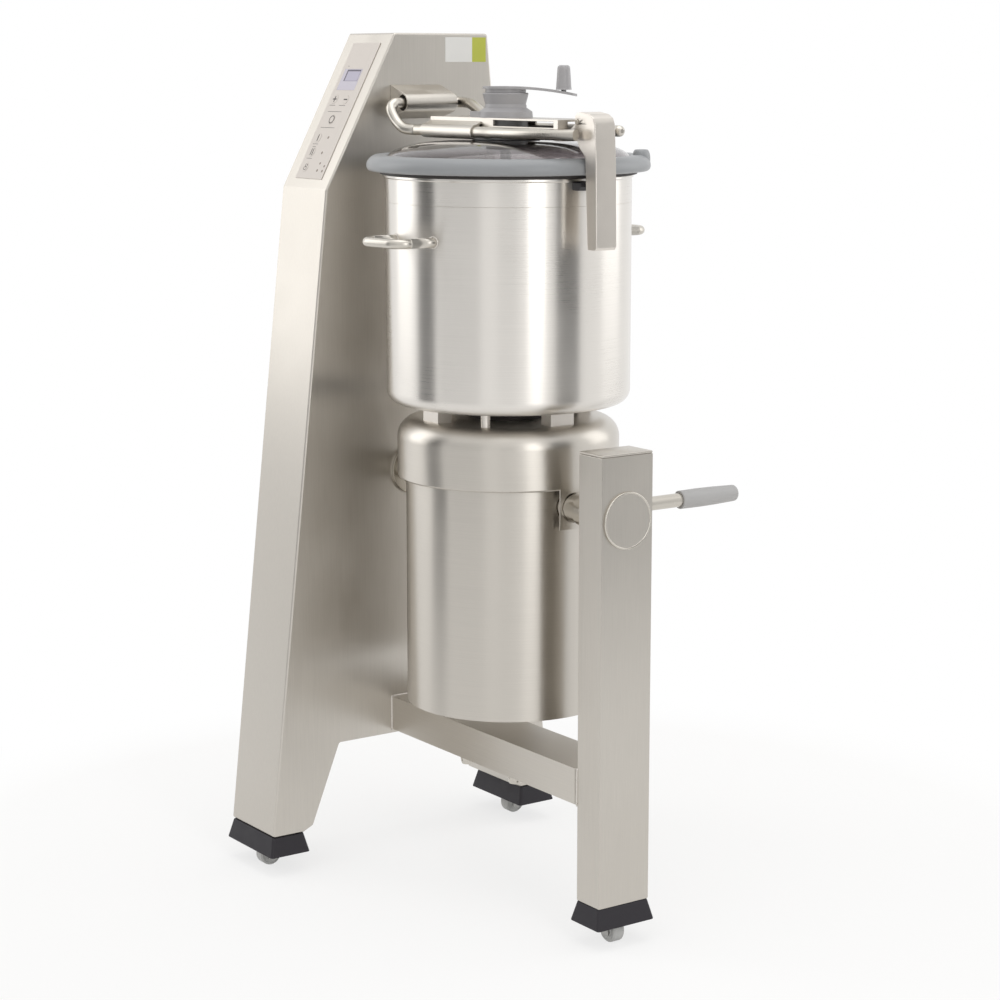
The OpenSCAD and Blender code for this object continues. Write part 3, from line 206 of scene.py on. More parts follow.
def finish_material(tree, colour, tone, inputs):
    """Ends a material: its colour, lighter or darker by the tone, on a principled surface."""
    tint = add_node(tree, "ShaderNodeVectorMath", {0: tuple(colour[:3]), "Scale": tone}, operation="SCALE")
    surface = add_node(tree, "ShaderNodeBsdfPrincipled", {"Base Color": tint, **inputs})
    add_node(tree, "ShaderNodeOutputMaterial", {"Surface": surface})


def grain_vector(tree, point, run, grain, length):
    """Coordinates in which noise of scale 1 has lines one grain wide and one length long.

    run is the brushing: "z" up the sheet, "x" or "y" along the part, "round" round the bowl's axis."""
    if run != "round":
        scale = [1 / length if axis == run else 1 / grain for axis in "xyz"]
        return add_node(tree, "ShaderNodeMapping", {"Vector": point, "Scale": scale})
    middle = (BOWL_X, 0, 0)
    centred = add_node(tree, "ShaderNodeVectorMath", {0: point, 1: middle}, operation="SUBTRACT")
    x, y, z = add_node(tree, "ShaderNodeSeparateXYZ", {0: centred}).outputs
    turn = add_node(tree, "ShaderNodeMath", {0: y, 1: x}, operation="ARCTAN2")
    along = add_node(tree, "ShaderNodeMath", {0: turn, 1: BOWL_R / length}, operation="MULTIPLY")
    # On a flat top the lines stay round, as the distance from the axis takes the height's place
    flat = add_node(tree, "ShaderNodeCombineXYZ", {0: x, 1: y})
    away = add_node(tree, "ShaderNodeVectorMath", {0: flat}, operation="LENGTH").outputs["Value"]
    across = add_node(tree, "ShaderNodeMath", {0: z, 1: away}, operation="SUBTRACT")
    lines = add_node(tree, "ShaderNodeMath", {0: across, 1: 1 / grain}, operation="MULTIPLY")
    return add_node(tree, "ShaderNodeCombineXYZ", {0: along, 1: 0.0, 2: lines})


# Size of the faint clouds that handling leaves on brushed steel
HANDLING_CLOUD = 140 * MM


def stainless(name, colour, run, roughness, anisotropy, grain_mm=0.9, length_mm=60, bump=0.18):
    """Stainless steel 1.4301, belt-brushed or turned.

    The eye sees fine lines in the direction of the brushing, a reflection that is drawn out across them,
    and a faint cloudiness from handling. Real grit lines are 0.05 mm wide; they are drawn up to 1.2 mm
    wide so that they show at this distance."""
    material = blank_material(name)
    if material is None:
        return bpy.data.materials[name]
    tree = material.node_tree
    point = add_node(tree, "ShaderNodeTexCoord").outputs["Object"]
    lines, line_tone, line_rough = wandering(
        tree, grain_vector(tree, point, run, grain_mm * MM, length_mm * MM), 1.0, 3.0, 0.6,
        (0.955, 1.045), (roughness - 0.03, roughness + 0.03),
    )
    _, cloud_tone, cloud_rough = wandering(
        tree, point, 1 / HANDLING_CLOUD, 3.0, 0.55, (0.975, 1.025), (-0.035, 0.035)
    )
    tone = add_node(tree, "ShaderNodeMath", {0: line_tone, 1: cloud_tone}, operation="MULTIPLY")
    groove = {"Strength": bump, "Distance": 0.06 * MM, "Height": lines}
    inputs = {
        "Metallic": 1.0, "Anisotropic": anisotropy, "Normal": add_node(tree, "ShaderNodeBump", groove),
        "Roughness": add_node(tree, "ShaderNodeMath", {0: line_rough, 1: cloud_rough}, operation="ADD"),
    }
    if anisotropy:
        axis = "Z" if run == "round" else run.upper()
        inputs["Tangent"] = add_node(tree, "ShaderNodeTangent", direction_type="RADIAL", axis=axis)
        inputs["Anisotropic Rotation"] = 0.25 if run == "round" else 0.0
    finish_material(tree, colour, tone, inputs)
    return material


def grained(
    name, colour, roughness, grain_mm, depth_mm, ior=1.5, metallic=0.0, vary=0.03, coat=0.0, blotch_mm=60
):
    """A surface with an even grain in all directions: moulded, cast, blasted or painted.

    grain_mm is the size of one grain and depth_mm its depth; vary is how far the tone wanders."""
    material = blank_material(name)
    if material is None:
        return bpy.data.materials[name]
    tree = material.node_tree
    point = add_node(tree, "ShaderNodeTexCoord").outputs["Object"]
    grain, speckle = wandering(tree, point, 1 / (grain_mm * MM), 2.0, 0.6, (1 - vary / 2, 1 + vary / 2))
    _, blotch, rough = wandering(
        tree, point, 1 / (blotch_mm * MM), 4.0, 0.6,
        (1 - vary, 1 + vary), (max(roughness - 0.06, 0.02), roughness + 0.06),
    )
    tone = add_node(tree, "ShaderNodeMath", {0: speckle, 1: blotch}, operation="MULTIPLY")
    relief = {"Strength": 0.5, "Distance": depth_mm * MM, "Height": grain}
    inputs = {"Roughness": rough, "Metallic": metallic, "Normal": add_node(tree, "ShaderNodeBump", relief)}
    if not metallic:
        inputs["IOR"] = ior
    if coat:
        inputs["Coat Weight"] = coat
    finish_material(tree, colour, tone, inputs)
    return material


def smoked_polycarbonate():
    """Clear polycarbonate, moulded and polished: it darkens what is under it and mirrors sharply."""
    name = "smoked_polycarbonate_polished"
    material = blank_material(name)
    if material is None:
        return bpy.data.materials[name]
    tree = material.node_tree
    point = add_node(tree, "ShaderNodeTexCoord").outputs["Object"]
    _, haze, rough = wandering(tree, point, 1 / (40 * MM), 3.0, 0.5, (0.97, 1.03), (0.03, 0.09))
    inputs = {"Roughness": rough, "IOR": 1.58, "Transmission Weight": 1.0}
    finish_material(tree, linear("#b9b3b4"), haze, inputs)
    return material


def material_set():
    """Every finish by a short key: the real material, and how its surface was made."""
    c = finishes()
    return {
        "sheet": stainless("stainless_sheet_belt_brushed_upright", c.sheet, "z", 0.34, 0.55, 0.9, 70),
        "beam": stainless("stainless_tube_belt_brushed_lengthways", c.sheet, "x", 0.33, 0.5, 0.9, 70),
        "bowl": stainless("stainless_bowl_round_brushed", c.bowl, "round", 0.3, 0.82, 0.6, 160, bump=0.06),
        "drum": stainless("stainless_drum_round_brushed", c.sheet, "round", 0.32, 0.7, 0.8, 140, bump=0.08),
        "tube": stainless("stainless_tube_satin", c.tube, "z", 0.3, 0.0, 0.7, 8),
        # Ground bar stock: brighter and smoother than sheet, with hardly any lines
        "ground": stainless("stainless_bar_ground", c.tube, "y", 0.2, 0.0, 0.5, 20),
        # Blasted casting: an even sparkle without lines
        "cast": grained("stainless_casting_blasted", c.cast, 0.36, 0.8, 0.05, metallic=1.0, vary=0.03),
        # Zinc-plated pressed steel: greyer and patchier than stainless
        "zinc": grained(
            "steel_zinc_plated", linear("#a8a7a4"), 0.42, 1.2, 0.04, metallic=1.0, vary=0.07, blotch_mm=9
        ),
        # Painted cast iron: orange-peel gloss
        "iron": grained("cast_iron_enamelled_grey", linear("#6f767c"), 0.4, 2.2, 0.12, coat=0.3),
        # Nitrile rubber: matt, with a violet cast and pale dust
        "rubber": grained(
            "nitrile_rubber_moulded", c.rubber, 0.62, 0.7, 0.06, ior=1.52, vary=0.12, blotch_mm=25
        ),
        "seal": grained("silicone_seal_dark", linear("#35312f"), 0.55, 0.6, 0.04, ior=1.43, vary=0.08),
        # Cast polyamide: slightly glossy tread with a soft mottling
        "nylon": grained("polyamide_wheel_moulded", linear("#bdbdbb"), 0.42, 0.9, 0.04, ior=1.53, vary=0.05),
        # ABS with a fine spark-eroded grain
        "ring": grained("abs_ring_fine_grain", c.ring, 0.36, 0.7, 0.03, ior=1.54, vary=0.02, blotch_mm=90),
        "lid_grey": grained("abs_crank_fine_grain", c.lid_grey, 0.38, 0.7, 0.03, ior=1.54, vary=0.025),
        "grip": grained("polypropylene_grip_matt", c.grip, 0.52, 0.8, 0.05, ior=1.49, vary=0.02),
        "wiper": grained("acetal_wiper_milled", linear("#d9d6cf"), 0.35, 0.8, 0.03, ior=1.48, vary=0.02),
        "black": grained("glass_filled_nylon_black", linear("#232226"), 0.45, 0.6, 0.04, ior=1.53, vary=0.08),
        "film": grained("polyester_film_satin", c.film, 0.4, 0.6, 0.015, ior=1.64, vary=0.012, blotch_mm=120),
        "ink": grained("screen_ink_grey", c.print_ink, 0.55, 0.5, 0.01, ior=1.5, vary=0.05),
        "lcd": grained(
            "lcd_glass_violet_grey", linear("#a6a1b4"), 0.16, 2.0, 0.004, ior=1.52, vary=0.02, coat=0.6
        ),
        "lcd_pale": grained("acrylic_window_pale", linear("#bcb7c2"), 0.22, 2.0, 0.004, ior=1.49, vary=0.02),
        "lcd_dark": grained("lcd_border_dark", linear("#4d4656"), 0.25, 1.0, 0.004, ior=1.52, vary=0.05),
        "lamp": grained("led_lens_dim", linear("#8a7f74"), 0.2, 0.6, 0.01, ior=1.49, vary=0.05),
        "board": grained(
            "circuit_board_solder_mask", linear("#2f6b49"), 0.35, 1.5, 0.02, vary=0.1, blotch_mm=8
        ),
        "painted": grained("powder_coat_grey", linear("#6e7278"), 0.5, 1.1, 0.08, vary=0.04),
        # Laminated steel of the rotor, with a light rust bloom
        "laminate": stainless("steel_laminate_turned", linear("#8a7f6f"), "round", 0.45, 0.0, 1.2, 60),
        "label_white": grained("vinyl_label_white", linear("#e3e2de"), 0.45, 0.6, 0.01, ior=1.5, vary=0.015),
        "label_green": grained(
            "vinyl_label_yellow_green", linear("#b8bd4a"), 0.45, 0.6, 0.01, ior=1.5, vary=0.02
        ),
        # Weld bead, brushed over: brighter ripples
        "weld": grained(
            "stainless_weld_bead", linear("#cfcac3"), 0.3, 1.6, 0.2, metallic=1.0, vary=0.06, blotch_mm=6
        ),
        "dome": smoked_polycarbonate(),
    }


# ---- mesh helpers


def add_object(name, data):
    """Puts an object of the data into the scene."""
    thing = bpy.data.objects.new(name, data)
    bpy.context.scene.collection.objects.link(thing)
    return thing


def mesh_data(name, mesh, material):
    """Turns a bmesh into mesh data of one material."""
    data = bpy.data.meshes.new(name)
    mesh.to_mesh(data)
    mesh.free()
    data.materials.append(material)
    return data


def new_piece(name, mesh, material, body, smooth=30, bevel=0.0, segments=3):
    """Makes an object of a bmesh, smooth up to an angle in degrees, and lets it ride on a body."""
    bmesh.ops.recalc_face_normals(mesh, faces=mesh.faces)
    data = mesh_data(name, mesh, material)
    data.shade_smooth()
    data.set_sharp_from_angle(angle=math.radians(smooth))
    piece = add_object(name, data)
    if bevel:
        add_bevel(piece, bevel, segments)
        keep_flats_flat(piece)
    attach(piece, body)
    return piece


def add_bevel(piece, width, segments=3, angle=40):
    """Rounds the edges that are sharper than an angle in degrees."""
    modifier = piece.modifiers.new("rounded_edges", "BEVEL")
    modifier.width = width
    modifier.segments = segments
    modifier.limit_method = "ANGLE"
    modifier.angle_limit = math.radians(angle)
    return modifier


def keep_flats_flat(piece):
    """Turns the shading of a rounded edge towards the large flat faces beside it."""
    piece.modifiers.new("flat_faces", "WEIGHTED_NORMAL").keep_sharp = True


def smoothing_group(name, join):
    """A geometry node group: joins split corners, or shades smooth up to an angle."""
    if name in bpy.data.node_groups:
        return bpy.data.node_groups[name]
    tree = bpy.data.node_groups.new(name, "GeometryNodeTree")
    tree.interface.new_socket("Geometry", in_out="INPUT", socket_type="NodeSocketGeometry")
    tree.interface.new_socket("Geometry", in_out="OUTPUT", socket_type="NodeSocketGeometry")
    start = add_node(tree, "NodeGroupInput").outputs[0]
    if join:
        done = add_node(tree, "GeometryNodeMergeByDistance", {"Geometry": start, "Distance": 0.005 * MM})
    else:
        smooth = add_node(
            tree, "GeometryNodeSetShadeSmooth", {"Geometry": start, "Shade Smooth": True}, domain="FACE"
        )
        bend = add_node(tree, "GeometryNodeInputMeshEdgeAngle").outputs["Unsigned Angle"]
        limit = math.radians(32)
        sharp = add_node(
            tree, "FunctionNodeCompare", {0: bend, 1: limit}, data_type="FLOAT", operation="GREATER_THAN"
        ).outputs[0]
        done = add_node(
            tree, "GeometryNodeSetShadeSmooth",
            {"Geometry": smooth.outputs[0], "Selection": sharp, "Shade Smooth": False}, domain="EDGE",
        )
    add_node(tree, "NodeGroupOutput", {0: done.outputs[0]})
    return tree


def finish_solid(name, material, bevel=0.0, segments=2, angle=40):
    """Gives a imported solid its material, rounds its edges and smooths its curved faces."""
    solid = NODES[name]
    solid.data.materials.clear()
    solid.data.materials.append(material)
    if "custom_normal" in solid.data.attributes:
        solid.data.attributes.remove(solid.data.attributes["custom_normal"])
    solid.modifiers.new("joined_corners", "NODES").node_group = smoothing_group("join_corners", True)
    if bevel:
        add_bevel(solid, bevel, segments, angle)
    solid.modifiers.new("smooth_faces", "NODES").node_group = smoothing_group("smooth_to_angle", False)
    if bevel:
        keep_flats_flat(solid)
    return solid


def lathe(profile, centre=(0.0, 0.0), steps=160):
    """Revolves a closed profile of radius and height round an upright axis."""
    mesh = bmesh.new()
    rings = []
    for i in range(steps):
        turn = 2 * math.pi * i / steps
        across, along = math.cos(turn), math.sin(turn)
        rings.append([mesh.verts.new((centre[0] + r * across, centre[1] + r * along, z)) for r, z in profile])
    count = len(profile)
    for i in range(steps):
        here, there = rings[i], rings[(i + 1) % steps]
        for k in range(count):
            n = (k + 1) % count
            mesh.faces.new((here[k], there[k], there[n], here[n]))
    bmesh.ops.remove_doubles(mesh, verts=mesh.verts, dist=0.002 * MM)
    return mesh


def rounded(outline, radius, steps=4):
    """The closed outline with each corner replaced by an arc, or by its share of a short side."""
    points = []
    count = len(outline)
    for i, here in enumerate(outline):
        back = Vector(outline[i - 1]) - Vector(here)
        ahead = Vector(outline[(i + 1) % count]) - Vector(here)
        half = back.angle(ahead) / 2
        cut = min(radius / math.tan(half), back.length * 0.45, ahead.length * 0.45)
        r = cut * math.tan(half)
        middle = Vector(here) + (back.normalized() + ahead.normalized()).normalized() * (r / math.sin(half))
        start = Vector(here) + back.normalized() * cut - middle
        end = Vector(here) + ahead.normalized() * cut - middle
        first = math.atan2(start.y, start.x)
        sweep = math.atan2(start.x * end.y - start.y * end.x, start.dot(end))
        for k in range(steps + 1):
            turn = first + sweep * k / steps
            points.append((middle.x + r * math.cos(turn), middle.y + r * math.sin(turn)))
    return points


def inset(outline, distance):
    """The closed outline moved inwards corner by corner."""
    points = []
    count = len(outline)
    for i, here in enumerate(outline):
        u = (Vector(here) - Vector(outline[i - 1])).normalized()
        v = (Vector(outline[(i + 1) % count]) - Vector(here)).normalized()
        n, m = Vector((-u.y, u.x)), Vector((-v.y, v.x))
        points.append(tuple(Vector(here) + distance * (n + m) / (1 + n.dot(m))))
    return points


def from_mm(points, r=0.0, z=0.0):
    """Pairs of radius and height, given in millimetres from a place, in metres."""
    return [(r + a * MM, z + b * MM) for a, b in points]


def flowing(points, steps=4):
    """A smooth curve through points, without its last one."""
    curve = []
    for i in range(len(points) - 1):
        p = [Vector(points[min(max(i + k, 0), len(points) - 1)]) for k in (-1, 0, 1, 2)]
        for k in range(steps):
            t = k / steps
            bend = 2 * p[0] - 5 * p[1] + 4 * p[2] - p[3]
            twist = 3 * p[1] - p[0] - 3 * p[2] + p[3]
            curve.append(tuple(0.5 * (2 * p[1] + (p[2] - p[0]) * t + bend * t**2 + twist * t**3)))
    return curve


def prism(mesh, outline, low, high, place):
    """Adds a prism of a flat outline between two heights; place turns x, y, z into a point."""
    bottom = [mesh.verts.new(place(x, y, low)) for x, y in outline]
    top = [mesh.verts.new(place(x, y, high)) for x, y in outline]
    mesh.faces.new(bottom[::-1])
    mesh.faces.new(top)
    for i in range(len(outline)):
        k = (i + 1) % len(outline)
        mesh.faces.new((bottom[i], bottom[k], top[k], top[i]))


def rectangle(x, y, width, height):
    """A rectangle round a middle."""
    return [
        (x - width / 2, y - height / 2), (x + width / 2, y - height / 2),
        (x + width / 2, y + height / 2), (x - width / 2, y + height / 2),
    ]


def circle(x, y, radius, steps=28):
    """A circle round a middle."""
    return [
        (x + radius * math.cos(2 * math.pi * i / steps), y + radius * math.sin(2 * math.pi * i / steps))
        for i in range(steps)
    ]


def ring_band(mesh, x, y, radius_x, radius_y, width, low, high, place, steps=48):
    """Adds a flat oval ring between two heights."""
    loops = []
    turns = [2 * math.pi * i / steps for i in range(steps)]
    for shrink, z in ((0, low), (0, high), (width, high), (width, low)):
        a, b = radius_x - shrink, radius_y - shrink
        loops.append([mesh.verts.new(place(x + a * math.cos(t), y + b * math.sin(t), z)) for t in turns])
    for a in range(4):
        here, there = loops[a], loops[(a + 1) % 4]
        for i in range(steps):
            k = (i + 1) % steps
            mesh.faces.new((here[i], here[k], there[k], there[i]))


def tube(mesh, points, radius, sides=16, closed=False):
    """Adds a round tube along points; an open one gets flat ends."""
    path = [Vector(p) for p in points]
    count = len(path)
    turns = [2 * math.pi * k / sides for k in range(sides)]
    rings = []
    side = None
    for i, here in enumerate(path):
        before = path[i - 1] if closed or i else here
        after = path[(i + 1) % count] if closed or i < count - 1 else here
        heading = (after - before).normalized()
        if side is None:
            side = heading.orthogonal().normalized()
        side = (side - heading * side.dot(heading)).normalized()
        up = heading.cross(side)
        size = radius[i] if isinstance(radius, (list, tuple)) else radius
        rings.append([mesh.verts.new(here + size * (side * math.cos(t) + up * math.sin(t))) for t in turns])
    for i in range(count if closed else count - 1):
        a, b = rings[i], rings[(i + 1) % count]
        for k in range(sides):
            n = (k + 1) % sides
            mesh.faces.new((a[k], a[n], b[n], b[k]))
    if not closed:
        mesh.faces.new(rings[0][::-1])
        mesh.faces.new(rings[-1])


def on_strip(x, y, z):
    """A point on the control strip, from millimetres sideways, up the slope and outwards."""
    turn = Matrix.Rotation(math.pi / 2 - STRIP_LEAN, 4, "X")
    return STRIP_FOOT + turn @ (Vector((x, y, z)) * MM)


def on_face(x, y, z):
    """A point on the column's face towards the post, from metres along Y, up, and outwards."""
    return Vector((SHELL_HIGH.x + z, x, y))


# ---- pieces


class MixerPiece:
    """Shared parts of the operators."""

    bl_options = {"REGISTER", "UNDO"}
    # Each solid: its name, its finish, the rounding of its edges in millimetres, and at will the
    # steps of that rounding
    solids = ()

    def finish_solids(self, m):
        """Dresses the operator's solids."""
        for name, finish, rounding, *steps in self.solids:
            finish_solid(name, m[finish], rounding * MM, *steps)


class MIXER_OT_column(MixerPiece, bpy.types.Operator):
    """Column sheet with rounded folds, back panel with screws, blank label"""

    bl_idname = "mixer.column"
    bl_label = "Column"
    solids = (
        ("column_back_panel", "sheet", 0.6), ("back_panel_screws", "ground", 0.7),
        ("inverter_box", "painted", 1), ("cable_gland", "black", 0.5),
        ("trunnion_bearings", "ground", 0.8),
    )

    def execute(self, context):
        m = material_set()
        s = sizes()
        self.sheet(m, s)
        self.finish_solids(m)
        self.paint_screw_drive_shade(m)
        self.label(m, s)
        return {"FINISHED"}

    def sheet(self, m, s):
        """The folded sheet: its walls, its rounded fold and its face with the bearing's hole."""
        low, high = SHELL_LOW, SHELL_HIGH
        foot, leg, z0 = high.y, 0.060, low.z
        # The arch between the legs: its half width at the foot and the top, its step and its height
        arch_foot, arch_top, arch_step, arch_z = 0.207, 0.153, z0 + 0.009, 0.213
        back_top = 0.154
        outline = [
            (-foot, z0), (-(foot - leg), z0), (-arch_foot, arch_step), (-arch_top, arch_z),
            (arch_top, arch_z), (arch_foot, arch_step), (foot - leg, z0), (foot, z0),
            (back_top, high.z), (-SLOPE_TOP_Y, high.z), (-SLOPE_FOOT_Y, SLOPE_FOOT_Z),
        ]
        outline = rounded(outline, s.corner, 5)
        steps = 6
        rings = [(low.x, 0.0)]
        for i in range(steps + 1):
            turn = math.pi / 2 * i / steps
            rings.append((high.x - s.fold + s.fold * math.sin(turn), s.fold - s.fold * math.cos(turn)))
        mesh = bmesh.new()
        loops = [[mesh.verts.new((x, y, z)) for y, z in inset(outline, d)] for x, d in rings]
        for here, there in zip(loops, loops[1:]):
            for i in range(len(here)):
                k = (i + 1) % len(here)
                mesh.faces.new((here[i], here[k], there[k], there[i]))
        bearing_hole_r = 34.05 * MM
        hole = [mesh.verts.new((high.x, y, TILT_Z + z)) for y, z in circle(0, 0, bearing_hole_r, 64)]
        edges = []
        for loop in (loops[-1], hole):
            for i in range(len(loop)):
                pair = (loop[i], loop[(i + 1) % len(loop)])
                edges.append(mesh.edges.get(pair) or mesh.edges.new(pair))
        bmesh.ops.triangle_fill(mesh, use_beauty=True, edges=edges)
        piece = new_piece("column_sheet_folded", mesh, m["sheet"], "root", 30)
        wall = piece.modifiers.new("sheet_thickness", "SOLIDIFY")
        wall.thickness = s.sheet
        wall.offset = -1
        keep_flats_flat(piece)
        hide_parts("column_shell")

    def paint_screw_drive_shade(self, m):
        """Dark crosses in the back panel's screw heads: painted shade in place of their cross recesses, which
        are not cut.
        """
        mesh = bmesh.new()
        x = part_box("back_panel_screws")[0].x
        # Half width of the panel at its foot, how far in the screws sit, and their shares of its height
        panel_foot, screw_in, rows = 0.286, 0.0165, (0.1, 0.36, 0.62, 0.88)
        long, short, deep, proud = 4.6 * MM, 1.0 * MM, -0.4 * MM, 0.08 * MM

        def on_back(y, z, out):
            return Vector((x - out, y, z))

        for side in (-1, 1):
            for share in rows:
                z = SHELL_LOW.z + share * (SLOPE_FOOT_Z - SHELL_LOW.z)
                y = side * (panel_foot - share * (panel_foot - SLOPE_FOOT_Y) - screw_in)
                prism(mesh, rectangle(y, z, long, short), deep, proud, on_back)
                prism(mesh, rectangle(y, z, short, long), deep, proud, on_back)
        # Painted shade: dark material stands where the recesses would lie in shadow
        new_piece("back_screw_recess_painted_shade", mesh, m["black"], "root")

    def label(self, m, s):
        """A blank two-tone label near the column's top."""
        y0, y1, z0, z1 = 0.068, 0.150, 1.353, 1.3936
        pale_share = 0.66
        split = y0 + (y1 - y0) * pale_share
        for name, a, b, material in (
            ("label_pale_part", y0, split, m["label_white"]),
            ("label_green_part", split, y1, m["label_green"]),
        ):
            mesh = bmesh.new()
            prism(mesh, rectangle((a + b) / 2, (z0 + z1) / 2, b - a, z1 - z0), 0, s.label_t, on_face)
            new_piece(name, mesh, material, "root", bevel=0.1 * MM, segments=1)


class MIXER_OT_panel(MixerPiece, bpy.types.Operator):
    """Control strip: film, window, keys and printed signs"""

    bl_idname = "mixer.panel"
    bl_label = "Control strip"
    solids = (
        ("control_overlay", "film", 0.4), ("display_window", "lcd_pale", 0.25),
        ("control_board", "board", 0),
    )

    def execute(self, context):
        m = material_set()
        self.finish_solids(m)
        for name in KEY_PLACES:
            finish_solid("key_" + name, m["film"], 0.4 * MM)
        self.display(m)
        self.signs(m)
        self.separators(m)
        return {"FINISHED"}

    def display(self, m):
        """The liquid crystal area in its dark border, in the upper part of the window."""
        for name, finish, area, low, high in (
            ("display_border", "lcd_dark", (-1.5, 206.5, 43, 21), 0, 0.1),
            ("display_lcd", "lcd", (0.2, 205.2, 38.6, 17.4), 0.05, 0.22),
        ):
            mesh = bmesh.new()
            prism(mesh, rectangle(*area), OVERLAY_MM + low, OVERLAY_MM + high, on_strip)
            new_piece(name, mesh, m[finish], "root")

    def signs(self, m):
        """Film on the keys and the signs printed on it, which move with their keys, and lamps beside them."""
        face = OVERLAY_MM + KEY_RISE
        # The film lies over each key's edge, so the gap round it hardly shows
        for name, (x, y) in KEY_PLACES.items():
            film = bmesh.new()
            prism(film, circle(x, y, KEY_FILM_R, 48), OVERLAY_MM - 0.04, face + 0.02, on_strip)
            new_piece("film_" + name, film, m["film"], "key_" + name, bevel=0.3 * MM)
        low, high = face - PRINT_SINK, face + sizes().print_t / MM
        # Each bar: its middle from the key's middle, its width and its height
        signs = {
            "plus": [(0, 0, 11, 2.2), (0, 0, 2.2, 11)],
            "minus": [(0, 0, 11, 2.2)],
            "run_one": [(0, 0, 2.3, 12)],
            "run_two": [(-2.6, 0, 1.9, 12), (2.6, 0, 1.9, 12)],
        }
        for name, bars in signs.items():
            middle = KEY_PLACES[name]
            mesh = bmesh.new()
            # Each further bar is a hair higher, so that crossing bars have no faces in one plane
            for i, (x, y, width, height) in enumerate(bars):
                bar = rectangle(middle[0] + x, middle[1] + y, width, height)
                prism(mesh, bar, low, high + i * 0.01, on_strip)
            new_piece("sign_" + name, mesh, m["ink"], "key_" + name)
        # Each oval: its middle, its two radii and the width of its line
        ovals = {
            "stop": [(*KEY_PLACES["stop"], 7.4, 7.4, 1.7)],
            "pulse": [(-23.5, 34.6, 4.6, 3.2, 0.9), (-22.6, 40.2, 3.6, 2.6, 0.9)],
        }
        for name, rings in ovals.items():
            mesh = bmesh.new()
            for ring in rings:
                ring_band(mesh, *ring, low, high, on_strip)
            new_piece("sign_" + name, mesh, m["ink"], "key_" + name)
        dots = bmesh.new()
        for x, y, radius in (
            (8, 92, 2.5), (9, 64, 2.5), (17.5, 45, 2.2), (34, 40.5, 2.2), (17.5, 32, 2.5), (33.5, 31.5, 2.4),
        ):
            prism(dots, circle(x, y, radius, 20), OVERLAY_MM - 0.1, OVERLAY_MM + 0.25, on_strip)
        new_piece("strip_lamps", dots, m["lamp"], "root", bevel=0.1 * MM, segments=1)

    def separators(self, m):
        """Thin printed lines between the keys."""
        mesh = bmesh.new()
        line_width, line_rise = 0.7, 0.08
        for x, y, length in (
            (-24, 151, 19), (7, 151, 19), (-8, 139.5, 44), (-8, 110, 44), (-24, 79.5, 17), (-24, 74.5, 10),
            (-24, 53, 17), (-25, 223.5, 4),
        ):
            line = rectangle(x, y, length, line_width)
            prism(mesh, line, OVERLAY_MM - PRINT_SINK, OVERLAY_MM + line_rise, on_strip)
        new_piece("strip_lines", mesh, m["ink"], "root")


class MIXER_OT_frame(MixerPiece, bpy.types.Operator):
    """Crossbeam, post, cap, pivot cover and their welds"""

    bl_idname = "mixer.frame"
    bl_label = "Beam and post"
    solids = (
        ("crossbeam", "beam", 1.4), ("beam_dome_nuts", "ground", 0), ("post", "sheet", 1.3),
        ("post_cap", "sheet", 1.6, 3), ("pivot_cover", "sheet", 0.5),
    )

    def execute(self, context):
        m = material_set()
        s = sizes()
        self.finish_solids(m)
        self.cover_rim(m)
        self.welds(m, s)
        return {"FINISHED"}

    def cover_rim(self, m):
        """The bright rolled rim of the round pivot cover."""
        low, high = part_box("pivot_cover")
        rim_r, sunk = 1.9 * MM, 0.9 * MM
        radius = (high.y - low.y) / 2 - 1.4 * MM
        rim = bmesh.new()
        path = [(high.x - sunk, y, z) for y, z in circle(0, TILT_Z, radius, 96)]
        tube(rim, path, rim_r, 12, closed=True)
        new_piece("pivot_cover_rim", rim, m["ground"], "root", 60)

    def welds(self, m, s):
        """A rippled bead round each end of the crossbeam."""
        mesh = bmesh.new()
        low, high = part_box("crossbeam")
        side_steps = 24
        for x in (low.x + s.weld * 0.2, high.x - s.weld * 0.2):
            corners = [
                (x, low.y, low.z), (x, high.y, low.z), (x, high.y, high.z), (x, low.y, high.z),
            ]
            path = []
            for a, b in zip(corners, corners[1:] + corners[:1]):
                path += [Vector(a).lerp(Vector(b), k / side_steps) for k in range(side_steps)]
            radii = [s.weld * (0.9 + 0.12 * math.sin(i * 2.4)) for i in range(len(path))]
            tube(mesh, path, radii, 10, closed=True)
        new_piece("beam_welds", mesh, m["weld"], "root", 60)


class MIXER_OT_feet(MixerPiece, bpy.types.Operator):
    """Rubber boots and castors"""

    bl_idname = "mixer.feet"
    bl_label = "Feet"
    solids = (
        ("castor_forks", "zinc", 0.8), ("wheel_front", "nylon", 0.6), ("wheel_rear", "nylon", 0.6),
        ("wheel_post", "nylon", 0.6),
    )

    def execute(self, context):
        m = material_set()
        finish_solid("rubber_boots", m["rubber"], sizes().boot_edge, 4, 30)
        self.finish_solids(m)
        return {"FINISHED"}


class MIXER_OT_motor_unit(MixerPiece, bpy.types.Operator):
    """Motor casing, cap drum, trunnions, tilt lever"""

    bl_idname = "mixer.motor_unit"
    bl_label = "Motor unit"
    solids = (
        ("motor_casing", "drum", 0.5), ("motor_cap", "drum", 0.7), ("motor_base_plate", "drum", 0.5),
        ("motor_stator", "iron", 0.8), ("trunnion_column", "ground", 0.8),
        ("trunnion_post", "ground", 0.8), ("lever_rod", "tube", 0), ("lever_grip", "grip", 0.6),
        ("bowl_feet", "cast", 1.4, 3), ("shaft_seal", "seal", 0.5), ("drive_shaft", "ground", 0.6),
        ("motor_rotor", "laminate", 0.6),
    )

    def execute(self, context):
        m = material_set()
        self.finish_solids(m)
        return {"FINISHED"}


